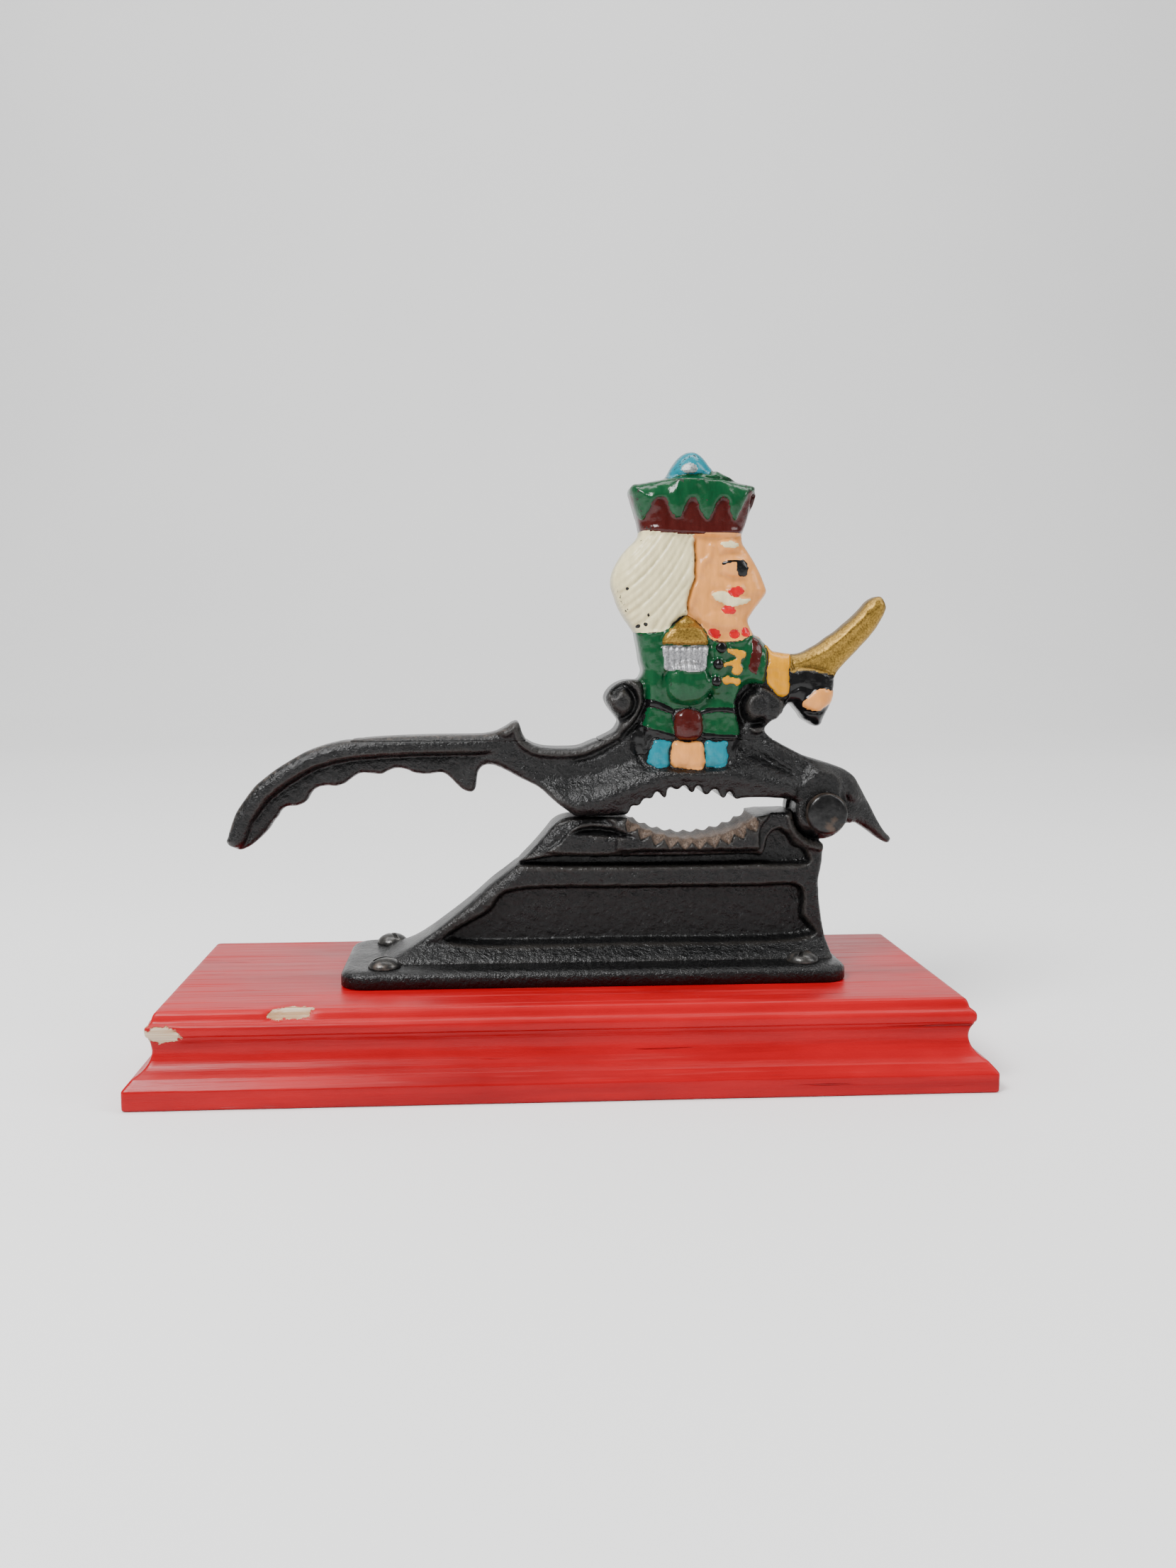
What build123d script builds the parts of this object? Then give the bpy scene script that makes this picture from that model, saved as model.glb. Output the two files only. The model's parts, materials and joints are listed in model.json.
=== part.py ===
"""Cast-iron lever nutcracker with a toy-soldier figure, on a moulded wooden plinth.

Millimetres. +X runs from the handle's end to the hinge, +Y is the width of the jaws, +Z is up, and the
origin is the centre of the plinth's underside. The lower casting is drawn in x and height above the
plinth's top. The lever is drawn in x and height above the level where it rests when closed. Both are
lifted into place at the end.
"""
from build123d import *
from math import atan2, degrees
import os

# ---- plinth ----
plinth_length = 190.0
plinth_width = 80.0
plinth_height = 20.0
plinth_inset = 6.6        # how far the top face stands in from the bottom edge, all round
bead_inset = 4.0          # the upright band under the top edge
cove_inset = 5.4          # deepest part of the cove
cove_height = 11.2        # where the cove is deepest, above the table
band_height = 4.3         # the upright band at the bottom

# ---- hinge ----
pivot_x = 62.5
pivot_above_stop = 0.8
rivet_d = 6.0
rivet_head_d = 9.8
rivet_head_h = 3.0
rivet_tail_d = 8.8
rivet_tail_h = 2.0
washer_d = 12.0
washer_thickness = 1.2
rivet_fit = 0.02          # radial, in the ears and the washer, which turn with the rivet
rivet_clear = 0.06        # radial, in the tongue, which stays still
ear_radius = 7.0
tongue_radius = 6.4
tongue_thickness = 6.0
side_clear = 0.3          # between the tongue and each ear
turn_clear = 0.5          # between outlines that turn past each other

# ---- widths of the castings, along Y ----
jaw_width = 19.0
fork_width = 17.0
body_width = 12.0
handle_width = 11.0
web_width = 5.6
spike_width = 8.0
scroll_width = 13.6
torso_width = 14.4
head_width = 15.2
hat_width = 17.2
pompon_width = 11.6
arm_width = 10.4
sword_width = 6.8
relief = 1.0              # how far a raised detail stands off what carries it

# ---- jaws ----
stop_height = 37.7        # the closed lever rests here, above the plinth's top
stop_gap = 0.3
cavity_left = 15.5
cavity_right = 48.0
lower_depth = 7.1         # from the stop down to the lower jaw's deepest point, between its teeth
upper_rise = 7.4          # from the closed lever's underside up to the upper jaw's highest point
upper_lip = 3.1           # and up to the upper jaw's ends
tooth_height = 1.7
teeth_per_jaw = 8

# ---- base casting ----
foot_length = 118.0
foot_width = 38.0
foot_thickness = 4.0
foot_centre = 7.5
foot_corner = 6.0
base_width = 14.0
base_web = 7.0            # left between the pockets of the two faces
rib_height = 21.0         # underside of the bar under the jaw
rib_thickness = 3.6
jaw_block_height = 9.6    # from the toothed block's underside to the stop

# ---- screws ----
screw_d = 3.5
screw_head_d = 7.6
screw_head_h = 2.4
screw_depth = 12.0        # in the plinth
screw_clear = 0.3         # radial, in the foot
pilot_clear = 0.05        # radial, in the wood
slot_width = 1.0
slot_depth = 1.1
screw_spacing_x = 98.0
screw_spacing_y = 26.0

pivot = Vector(pivot_x, stop_height + pivot_above_stop)
lever_pivot = Vector(pivot_x, pivot_above_stop - stop_gap)
ear_outer = fork_width / 2
slot_thickness = tongue_thickness + 2 * side_clear


def face_of(*edges):
    """A face in the XZ plane, from edges drawn in x and height."""
    return make_face([Plane.XZ * edge for edge in edges])


def plate(face, width):
    """A face in the XZ plane as a solid, centred on the mid-plane."""
    return extrude(face, amount=width / 2, both=True)


def smooth(points):
    """The face inside a smooth closed outline."""
    return face_of(Spline(*points, periodic=True))


def cast(points, width, edge):
    """A smooth closed outline as a plate whose side faces are rounded off."""
    solid = plate(smooth(points), width)
    return fillet(solid.faces().filter_by(Axis.Y).edges(), edge)


def disc(centre, radius, width):
    """A flat cylinder across the castings, centred on the mid-plane."""
    return plate(Plane.XZ * Pos(centre.X, centre.Y) * Circle(radius), width)


def both_sides(shape):
    """A detail on the front face, and its mirror image on the back."""
    return Part() + [shape, mirror(shape, Plane.XZ)]


def dome(x, height, radius, carrier_width, stretch=1.0, turn=0.0):
    """An oval boss on each side, half sunk in a carrier of that width."""
    depth = 2 * relief
    blob = scale(Sphere(1), by=(radius * stretch, depth, radius))
    front = Pos(x, -(carrier_width / 2 - relief), height) * Rot(0, -turn, 0) * blob
    return both_sides(front)


def toothed_jaw(arc, side):
    """Wedge-shaped ridges along an arc. side is +1 for teeth that point up and -1 for down."""
    pitch = arc.length / teeth_per_jaw
    half = 0.46 * pitch
    sunk = 0.4 * tooth_height
    ridges = []
    for i in range(teeth_per_jaw):
        share = (i + 0.5) / teeth_per_jaw
        foot = arc.position_at(share)
        along = arc.tangent_at(share)
        turn = degrees(atan2(along.Y, along.X))
        outline = Polyline((-half, -sunk * side), (half, -sunk * side), (half, 0), (0.4, tooth_height * side),
                           (-0.4, tooth_height * side), (-half, 0), close=True)
        ridges.append(plate(face_of(Pos(foot.X, foot.Y) * Rot(0, 0, turn) * outline), jaw_width))
    return ridges


def lower_arc():
    middle = (cavity_left + cavity_right) / 2
    return ThreePointArc((cavity_left, stop_height), (middle, stop_height - lower_depth),
                         (cavity_right, stop_height))


def upper_arc():
    middle = (cavity_left + cavity_right) / 2 - 2.0
    return ThreePointArc((cavity_left, upper_lip), (middle, upper_rise), (cavity_right, upper_lip + 0.6))


# ---- the plinth ----
def moulding(half):
    """The plinth's section across one direction, as a face in the XZ plane."""
    top = plinth_height
    right = [
        Line((half, 0), (half, band_height)),
        ThreePointArc((half, band_height), (half - 0.5, band_height + 1.3), (half - 1.6, band_height + 2.0)),
        Spline((half - 1.6, band_height + 2.0), (half - bead_inset - 0.7, cove_height - 2.6),
               (half - cove_inset, cove_height), (half - bead_inset, top - 4.8)),
        Line((half - bead_inset, top - 4.8), (half - bead_inset, top - 3.0)),
        ThreePointArc((half - bead_inset, top - 3.0), (half - bead_inset - 1.0, top - 1.1),
                      (half - plinth_inset, top)),
    ]
    left = [mirror(edge, Plane.YZ) for edge in right]
    across = [Line((half - plinth_inset, top), (plinth_inset - half, top)), Line((-half, 0), (half, 0))]
    return face_of(*right, *left, *across)


def screw_places():
    return [Pos(foot_centre + i * screw_spacing_x / 2, j * screw_spacing_y / 2, plinth_height)
            for i in (-1, 1) for j in (-1, 1)]


def plinth():
    """One board with the same moulding worked on all four edges, and pilot holes for the screws."""
    along = plate(moulding(plinth_length / 2), plinth_width)
    across = plate(moulding(plinth_width / 2), plinth_length)
    board = along & Rot(0, 0, 90) * across
    for place in screw_places():
        board -= place * Cylinder(screw_d / 2 + pilot_clear, 2 * screw_depth)
    return board


def foot_screws():
    """Four slotted round-head wood screws, whose heads sit on the foot."""
    head = Cylinder(screw_head_d / 2, screw_head_h, align=(Align.CENTER, Align.CENTER, Align.MIN))
    head = fillet(head.edges().sort_by(Axis.Z)[-1], 0.85 * screw_head_h)
    head -= Pos(0, 0, screw_head_h) * Rot(0, 0, 35) * Box(2 * screw_head_d, slot_width, 2 * slot_depth)
    length = foot_thickness + screw_depth - 1.0
    shank = Cylinder(screw_d / 2, length, align=(Align.CENTER, Align.CENTER, Align.MAX))
    screw = head + chamfer(shank.edges().sort_by(Axis.Z)[0], 0.4 * screw_d)
    return Compound(children=[place * Pos(0, 0, foot_thickness) * screw for place in screw_places()])


# ---- the lower casting ----
def base_outline():
    """The standing web, from the left slope over the stop and the nut's hollow to the hinge."""
    slope = Spline((-44, 0), (-24, 0.41 * stop_height), (-9, 0.74 * stop_height),
                   (-2, 0.955 * stop_height), (2.5, stop_height), tangents=((1, 0.35), (1, 0)))
    hollow = lower_arc()
    top_right = stop_height + pivot_above_stop
    return face_of(
        slope,
        Line((2.5, stop_height), (cavity_left, stop_height)),
        hollow,
        Line((cavity_right, stop_height), (cavity_right + 2, top_right)),
        Line((cavity_right + 2, top_right), (pivot_x, top_right)),
        Line((pivot_x, top_right), (pivot_x, 0.7 * stop_height)),
        Spline((pivot_x, 0.7 * stop_height), (pivot_x - 1.0, 0.58 * stop_height), (pivot_x + 2.5, 0)),
        Line((pivot_x + 2.5, 0), (-44, 0)))


def tongue():
    """The hinge's middle leaf: a round end on a short stem that runs down into the web's right end."""
    root = 2 * tongue_radius
    stem = Polyline((pivot.X, pivot.Y), (pivot.X, pivot.Y - root), (pivot.X - root, pivot.Y - root),
                    (pivot.X - root, pivot.Y - 0.7 * tongue_radius), (pivot.X - 3, pivot.Y), close=True)
    return plate(face_of(stem), tongue_thickness) + disc(pivot, tongue_radius, tongue_thickness)


def pockets():
    """Recesses cut alike into the front and back faces, above and below the bar."""
    depth = (base_width - base_web) / 2
    above = rib_height + rib_thickness
    outlines = [
        ((-7, above + 1.6), (-3, above + 6.6), (2, above + 9.6), (8, above + 9.8), (12.6, above + 7),
         (13, above + 2), (4, above + 1)),
        ((50, above + 2), (50.2, above + 6.6), (52.6, above + 8), (56.6, above + 4.8), (58.6, above + 1.6),
         (54, above + 1)),
        ((-24, foot_thickness + 2.6), (-16, rib_height - 7), (-4, rib_height - 2), (16, rib_height - 2),
         (40, rib_height - 2), (55, rib_height - 2.6), (59, rib_height - 9), (56, foot_thickness + 3),
         (16, foot_thickness + 2)),
    ]
    cuts = []
    for points in outlines:
        cut = plate(smooth(points), depth + 1)
        offset_y = base_web / 2 + (depth + 1) / 2
        cuts += [Pos(0, -offset_y, 0) * cut, Pos(0, offset_y, 0) * cut]
    return cuts


def base_casting():
    outline = base_outline()
    block_under = stop_height - jaw_block_height
    block_zone = Pos(cavity_left + 20.5, 0, block_under + 7) * Box(52, jaw_width + 1, 14)
    block = plate(outline, jaw_width) & block_zone
    rib_zone = Pos(pivot_x / 2 - 5, 0, rib_height + rib_thickness / 2) * Box(pivot_x + 40, 60, rib_thickness)
    rib = plate(outline, jaw_width - 2) & rib_zone
    foot = Pos(foot_centre, 0, foot_thickness / 2) * Box(foot_length, foot_width, foot_thickness)
    foot = fillet(foot.edges().filter_by(Axis.Z), foot_corner)
    body = plate(outline, base_width) - pockets() + block + rib + foot
    body -= disc(pivot, ear_radius + turn_clear, 2 * jaw_width)
    body += toothed_jaw(lower_arc(), 1)
    body += tongue()
    body -= disc(pivot, rivet_d / 2 + rivet_clear, 2 * jaw_width)
    for place in screw_places():
        body -= place * Pos(0, 0, -plinth_height) * Cylinder(screw_d / 2 + screw_clear, 3 * foot_thickness)
    return body


# ---- the lever ----
def handle():
    """A flat-topped flange over a scalloped web, with a rounded end that turns down."""
    top = Spline((-78.4, -4.6), (-75, 3), (-67, 11.1), (-55, 16.9), (-38, 18.9), (-20, 19.1), (-4, 16),
                 (4, 16))
    under = [
        Spline((4, 0.6), (-8, 8), (-17, 12), (-20, 10)),
        Spline((-20, 10), (-20.8, 5.6), (-24.5, 7), (-28.5, 10.1)),
        Spline((-28.5, 10.1), (-34, 9.8), (-38.3, 11.2), (-42.5, 9.8)),
        Spline((-42.5, 9.8), (-48, 9.8), (-53, 7.1), (-57, 6.9)),
        Spline((-57, 6.9), (-59.4, 4.8), (-61.5, 2.7), (-64.5, 2.3)),
        Spline((-64.5, 2.3), (-68, -1.4), (-71.5, -5.6), (-75.5, -7.8)),
        ThreePointArc((-75.5, -7.8), (-77.8, -7.2), (-78.4, -4.6)),
    ]
    web = plate(face_of(top, Line((4, 16), (4, 0.6)), *under), web_width)
    flange = cast(((-78.4, -5), (-76.5, 0.5), (-67, 11.1), (-55, 16.9), (-38, 18.9), (-20, 19.1), (-6, 16.6),
                   (-6, 13), (-22, 15), (-38, 14.9), (-53, 13), (-64, 7.2), (-72, -1.5), (-75.5, -7)),
                  handle_width, 0.8)
    return web + flange


def raised_edge():
    """The bead along the body's top, which starts as a hooked end over the handle."""
    hook = Spline((-18, 18.6), (-14.5, 20.2), (-11, 22.1), (-9.2, 19.4))
    crest = Spline((-9.2, 19.4), (-5, 16.4), (1, 15.9), (8, 17.7), (14, 22.5))
    below = Spline((16.5, 19), (10, 14.8), (3, 13.2), (-6, 13.8), (-18, 16.6))
    return plate(face_of(hook, crest, Line((14, 22.5), (16.5, 19)), below, Line((-18, 16.6), (-18, 18.6))),
                 body_width + 2 * relief)


def lever_body():
    """The plate between the handle and the hinge, thickened to the jaw's width above the teeth."""
    roof = upper_arc()
    left, right = roof.position_at(0), roof.position_at(1)
    outline = face_of(
        Spline((-8, 8), (-1, 3.2), (3.5, 0), tangents=((1, -0.5), (1, -0.45))),
        Line((3.5, 0), (cavity_left - 1.2, 0)),
        Line((cavity_left - 1.2, 0), (left.X, left.Y)),
        roof,
        Line((right.X, right.Y), (pivot_x - 8, right.Y)),
        Line((pivot_x - 8, right.Y), (pivot_x - 4.5, 13.6)),
        Spline((pivot_x - 4.5, 13.6), (pivot_x - 12.5, 18.6), (40, 21), (24, 21), (13, 20), (5, 16),
               (-8, 15.5)),
        Line((-8, 15.5), (-8, 8)))
    thin = plate(outline, body_width)
    half = jaw_width / 2
    slim = body_width / 2
    side = Plane.YZ * Polyline((-half + 1, -1), (-half, 3), (-half, 9.5), (-slim, 15), (slim, 15),
                               (half, 9.5), (half, 3), (half - 1, -1), close=True)
    thick = extrude(make_face(side), amount=pivot_x - 6.5)
    return thin + (plate(outline, jaw_width) & thick) + toothed_jaw(roof, -1)


def fork():
    """Two ears that straddle the tongue, closed above and behind it, with a pointed tail."""
    yoke_points = ((-12.5, 6), (-11.5, 14), (-5.5, 14.2), (1.5, 11.8), (6.5, 9.2), (9.1, 4), (8.9, -0.8),
                   (5.5, -1), (0, 3), (-6.5, 4.5))
    spike_points = ((1.5, 10.5), (6.5, 9.6), (10.5, 4.9), (14.5, -2), (18.2, -7), (14.5, -6.5),
                    (9.9, -3.2), (6, -1))
    yoke = Pos(pivot_x, 0, 0) * cast(yoke_points, fork_width, 1.2)
    spike = Pos(pivot_x, 0, 0) * plate(smooth(spike_points), spike_width)
    return disc(lever_pivot, ear_radius, fork_width) + yoke + spike


def scrolls():
    left = cast(((14.5, 22.2), (10.6, 26), (11, 29.5), (14.5, 31.8), (19, 32), (21.5, 28), (19.5, 23)),
                scroll_width, 1.6)
    right = cast(((48.8, 20.6), (52.5, 24.5), (52.6, 28.5), (48.5, 31), (44, 30), (42, 26), (44, 22)),
                 scroll_width, 1.6)
    eyes = dome(14.6, 27.2, 2.5, scroll_width) + dome(47.4, 25.6, 2.7, scroll_width)
    return left + right + eyes


def figure_body():
    """Skirt, tunic, belt with its box, buttons, epaulettes, sleeves and knees."""
    tunic = cast(((23, 13), (18.6, 20), (18.6, 32), (19.2, 35), (18.4, 40), (18.6, 44), (26, 46.5), (35, 45),
                  (44, 44), (48.6, 40.5), (50, 35), (47.5, 29), (44.6, 22), (40, 13), (31, 10.5)),
                 torso_width, 2.2)
    width = torso_width
    belt = [plate(face_of(Spline((18.6, height), (26, height - 0.6), (37, height - 0.6), (45, height)),
                          Line((45, height), (45, height + 1.4)),
                          Spline((45, height + 1.4), (37, height + 0.8), (26, height + 0.8),
                                 (18.6, height + 1.4)),
                          Line((18.6, height + 1.4), (18.6, height))), width + relief)
            for height in (18.4, 24.8)]
    box = dome(30.7, 21, 4.1, width, 0.95)
    buttons = [dome(x, height, 1.1, width) for x, height in ((38.7, 39.6), (38, 35.5), (37.6, 31.4))]
    epaulette = dome(29.6, 42.8, 4.2, width, 1.35)
    fringe = plate(face_of(Spline((24.6, 40), (25.2, 34.6), (30, 33), (34.6, 34.4), (35.2, 40)),
                           Line((35.2, 40), (24.6, 40))), width + 1.6 * relief)
    sleeve = dome(30.4, 30.4, 5.0, width, 1.1)
    knees = [dome(30.8, 13.6, 3.6, width, 1.1), dome(23.8, 14, 3.0, width), dome(38.2, 14, 3.0, width)]
    return Part() + [tunic, *belt, box, *buttons, epaulette, fringe, sleeve, *knees]


def figure_head():
    """Long hair, face with moustache, tall hat with a pompon."""
    hair = cast(((18.6, 68), (14.4, 61), (12.2, 55), (13.8, 49.4), (17.6, 43), (26, 42), (33, 44),
                 (33, 56), (34, 68)), head_width, 2.4)
    face = cast(((27, 68), (26, 54), (28, 43), (36, 41.4), (43, 42.6), (44.5, 45.4), (46.8, 49.6),
                 (48.7, 52.8), (46.4, 58.4), (43.2, 63.6), (42.6, 68)), head_width - 2.4, 0.8)
    hat = cast(((18.8, 66.9), (16.4, 75), (20, 77.7), (30.5, 79.4), (41, 78.2), (45.8, 75.5),
                (43.2, 66.6), (31, 65.9)), hat_width, 2.0)
    band_width = hat_width + relief
    band = cast(((18.8, 66.8), (17.6, 71), (24, 73), (31, 72.6), (38, 73), (44.6, 71), (43.2, 66.4),
                 (31, 65.8)), band_width, 1.2)
    pompon = Pos(30.7, 0, 80.6) * scale(Sphere(1), by=(5.4, pompon_width / 2, 4.3))
    features = [
        dome(40.4, 63.6, 1.2, head_width - 2.4, 1.8),
        dome(43.6, 58.6, 1.7, head_width - 2.4, 0.7),
        dome(40.6, 51.2, 1.6, head_width - 2.4, 2.6),
        dome(40.4, 48.4, 0.9, head_width - 2.4, 1.8),
    ]
    return Part() + [hair, face, hat, band, pompon, *features]


def sword_arm():
    arm = cast(((45, 39.6), (50.3, 38.5), (56, 38.2), (62, 36.6), (65.6, 32.4), (65, 27), (62.4, 21.6),
                (60.2, 21.4), (57.4, 24), (55, 26.4), (51, 27.6), (46.4, 32)), arm_width, 0.4)
    blade = cast(((57, 37.4), (62, 40.4), (68, 44.9), (73.5, 50.2), (76.6, 51.5), (77.9, 49), (75.5, 44),
                  (71, 38.8), (65.5, 33), (60, 33)), sword_width, 0.6)
    return arm + blade


def lever_casting():
    lever = Part() + [handle(), raised_edge(), lever_body(), scrolls(), figure_body(), figure_head(),
                      sword_arm()]
    lever += fork()
    lever -= disc(lever_pivot, ear_radius + turn_clear, slot_thickness)
    return lever - disc(lever_pivot, rivet_d / 2 + rivet_fit, 2 * jaw_width)


# ---- the rivet ----
def pivot_rivet():
    """Domed head at the front, plain shank, spread tail over the washer at the back."""
    length = fork_width + washer_thickness
    shank = Cylinder(rivet_d / 2, length, align=(Align.CENTER, Align.CENTER, Align.MIN))
    head = Cylinder(rivet_head_d / 2, rivet_head_h, align=(Align.CENTER, Align.CENTER, Align.MIN))
    head = fillet(head.edges().sort_by(Axis.Z)[-1], 0.6 * rivet_head_h)
    tail = Cylinder(rivet_tail_d / 2, rivet_tail_h, align=(Align.CENTER, Align.CENTER, Align.MIN))
    tail = fillet(tail.edges().sort_by(Axis.Z)[-1], 0.7 * rivet_tail_h)
    front = Plane(origin=(pivot.X, -ear_outer, pivot.Y), z_dir=(0, -1, 0))
    back = Plane(origin=(pivot.X, ear_outer + washer_thickness, pivot.Y), z_dir=(0, 1, 0))
    return (front * head) + (front * Pos(0, 0, -length) * shank) + (back * tail)


def rivet_washer():
    place = Plane(origin=(pivot.X, ear_outer, pivot.Y), z_dir=(0, 1, 0))
    ring = Circle(washer_d / 2) - Circle(rivet_d / 2 + rivet_fit)
    return extrude(place * ring, amount=washer_thickness)


os.makedirs("parts", exist_ok=True)
on_plinth = Pos(0, 0, plinth_height)
at_rest = Pos(0, 0, plinth_height + stop_height + stop_gap)
export_step(plinth(), "parts/plinth.step")
export_step(foot_screws(), "parts/foot_screws.step")
export_step(on_plinth * base_casting(), "parts/base_casting.step")
export_step(at_rest * lever_casting(), "parts/lever_casting.step")
export_step(on_plinth * pivot_rivet(), "parts/pivot_rivet.step")
export_step(on_plinth * rivet_washer(), "parts/rivet_washer.step")
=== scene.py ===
"""Looks for the cast-iron soldier nutcracker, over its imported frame.

Outlines are in millimetres in the frame's XZ plane. The two castings are double-sided reliefs: a
silhouette, a map of how thick the iron is, and a map of how round its edges are. The enamel is a set of
thin closed coats that stand 0.1 to 0.35 mm off the iron.
"""
import json
import math

import bmesh
import bpy
import numpy as np
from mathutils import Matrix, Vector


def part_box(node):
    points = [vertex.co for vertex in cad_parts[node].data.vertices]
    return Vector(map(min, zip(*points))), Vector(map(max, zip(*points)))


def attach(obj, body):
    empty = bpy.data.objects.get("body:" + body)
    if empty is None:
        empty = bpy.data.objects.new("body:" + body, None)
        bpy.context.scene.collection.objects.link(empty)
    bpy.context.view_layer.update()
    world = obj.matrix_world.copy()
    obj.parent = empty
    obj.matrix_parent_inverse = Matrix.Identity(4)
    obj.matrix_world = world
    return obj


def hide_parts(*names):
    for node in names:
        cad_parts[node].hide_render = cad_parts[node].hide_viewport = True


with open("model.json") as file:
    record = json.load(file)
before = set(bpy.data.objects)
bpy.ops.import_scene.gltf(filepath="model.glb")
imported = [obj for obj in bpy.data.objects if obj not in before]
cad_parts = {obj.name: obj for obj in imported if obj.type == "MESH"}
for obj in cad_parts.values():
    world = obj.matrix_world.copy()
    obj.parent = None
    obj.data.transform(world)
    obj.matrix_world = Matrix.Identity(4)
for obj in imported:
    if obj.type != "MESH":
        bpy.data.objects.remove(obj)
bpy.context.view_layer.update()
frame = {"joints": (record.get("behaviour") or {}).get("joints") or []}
MM = 0.001


def in_mm(box):
    """The low and high corners of a box given in metres, in millimetres."""
    return [[1000 * v for v in corner] for corner in box]


# ---- the viewer ----
EYE = (-15.27, -324.55, 98.99)      # the camera's place, in millimetres
LOOK_RIGHT = 3.859                  # degrees towards +X
LOOK_DOWN = 5.976
LENS = 31.25

# ---- the hinge ----
joint = frame["joints"][0]
PIVOT = tuple(1000 * v for v in joint["pos_m"])
EAR = 7.0
TURN_CLEAR = 0.5
TONGUE = 6.4
TONGUE_HALF = 3.0
SLOT_HALF = 3.3

# ---- the grids that the castings are sculpted on ----
LEVER_GRID = 0.3
BASE_GRID = 0.33


# ======== curves and maps ========
def smooth(points, closed=True, step=0.4):
    """A curve through the points, as a fine polyline. A repeated point is a sharp corner."""
    p = np.array(points, float)
    if closed:
        p = np.vstack([p[-1:], p, p[:2]])
    else:
        p = np.vstack([2 * p[0] - p[1], p, 2 * p[-1] - p[-2]])
    runs = []
    for a, b, c, d in zip(p[:-3], p[1:-2], p[2:-1], p[3:]):
        gap = np.hypot(*(c - b))
        if gap < 1e-6:
            continue
        t = np.linspace(0, 1, max(2, int(gap / step)), endpoint=False)[:, None]
        runs.append(0.5 * (2 * b + (c - a) * t + (2 * a - 5 * b + 4 * c - d) * t ** 2
                           + (3 * b - a - 3 * c + d) * t ** 3))
    line = np.vstack(runs)
    return line if closed else np.vstack([line, p[-2:-1]])


def on_face(points, depth=7.0):
    """Points drawn as seen against the mid-plane, moved along the line of sight to a face nearer the eye."""
    eye = np.array([EYE[0], EYE[2]])
    return eye + (np.array(points, float) - eye) * (1 + depth / EYE[1])


def ramp(low, high, value):
    t = np.clip((value - low) / (high - low), 0, 1)
    return t * t * (3 - 2 * t)


def blend(a, b, share):
    return a * (1 - share) + b * share


class Board:
    """A grid over the XZ plane, with distances to outlines and lines."""
    reach = 6.0

    def __init__(self, x_low, x_high, z_low, z_high, step):
        self.step = step
        self.x = np.arange(x_low, x_high, step)
        self.z = np.arange(z_low, z_high, step)
        self.X, self.Z = np.meshgrid(self.x, self.z)

    def _window(self, low, high, axis):
        a = max(0, int(np.searchsorted(axis, low)))
        return slice(a, max(a, int(np.searchsorted(axis, high))))

    def distance(self, points, closed=False, sharp=False):
        """Distance to a line, or signed distance to a closed outline, negative inside."""
        line = np.array(points, float) if sharp else smooth(points, closed)
        ends = np.roll(line, -1, 0) if closed else line[1:]
        best = np.full(self.X.shape, self.reach ** 2)
        odd = np.zeros(self.X.shape, bool)
        for (ax, az), (bx, bz) in zip(line, ends):
            cols = self._window(min(ax, bx) - self.reach, max(ax, bx) + self.reach, self.x)
            rows = self._window(min(az, bz) - self.reach, max(az, bz) + self.reach, self.z)
            X, Z = self.X[rows, cols], self.Z[rows, cols]
            dx, dz = bx - ax, bz - az
            t = np.clip(((X - ax) * dx + (Z - az) * dz) / max(dx * dx + dz * dz, 1e-12), 0, 1)
            near = (X - ax - t * dx) ** 2 + (Z - az - t * dz) ** 2
            best[rows, cols] = np.minimum(best[rows, cols], near)
            if closed and az != bz:
                rows = self._window(min(az, bz), max(az, bz), self.z)
                cross = ax + (self.z[rows] - az) * dx / dz
                odd[rows] ^= self.x[None, :] < cross[:, None]
        away = np.sqrt(best)
        return np.where(odd, -away, away) if closed else away

    def inside(self, points, sharp=False):
        return self.distance(points, True, sharp)

    def circle(self, x, z, radius):
        return np.hypot(self.X - x, self.Z - z) - radius

    def sample(self, values, x, z):
        """Values between the grid's points."""
        u = np.clip((x - self.x[0]) / self.step, 0, len(self.x) - 1.001)
        v = np.clip((z - self.z[0]) / self.step, 0, len(self.z) - 1.001)
        i, j = v.astype(int), u.astype(int)
        a, b = u - j, v - i
        return ((values[i, j] * (1 - a) + values[i, j + 1] * a) * (1 - b)
                + (values[i + 1, j] * (1 - a) + values[i + 1, j + 1] * a) * b)


def join(*regions, soft=0.8):
    """Regions run together, with a small fillet where they meet."""
    out = regions[0]
    for other in regions[1:]:
        h = np.clip(0.5 + 0.5 * (other - out) / soft, 0, 1)
        out = other * (1 - h) + out * h - soft * h * (1 - h)
    return out


def blur(values, count):
    for _ in range(count):
        for axis in (0, 1):
            values = (np.roll(values, 1, axis) + 2 * values + np.roll(values, -1, axis)) / 4
    return values


def wobble(X, Z, size=1.0):
    """A smooth irregular value about zero, for outlines and surfaces done by hand."""
    return (np.sin(2.1 * X / size + 1.3 * np.sin(1.1 * Z / size)) * np.sin(1.7 * Z / size + 0.6)
            + 0.6 * np.sin(4.3 * X / size + 2.2 * Z / size + 0.4) * np.sin(3.1 * Z / size - 2.7 * X / size))


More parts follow.
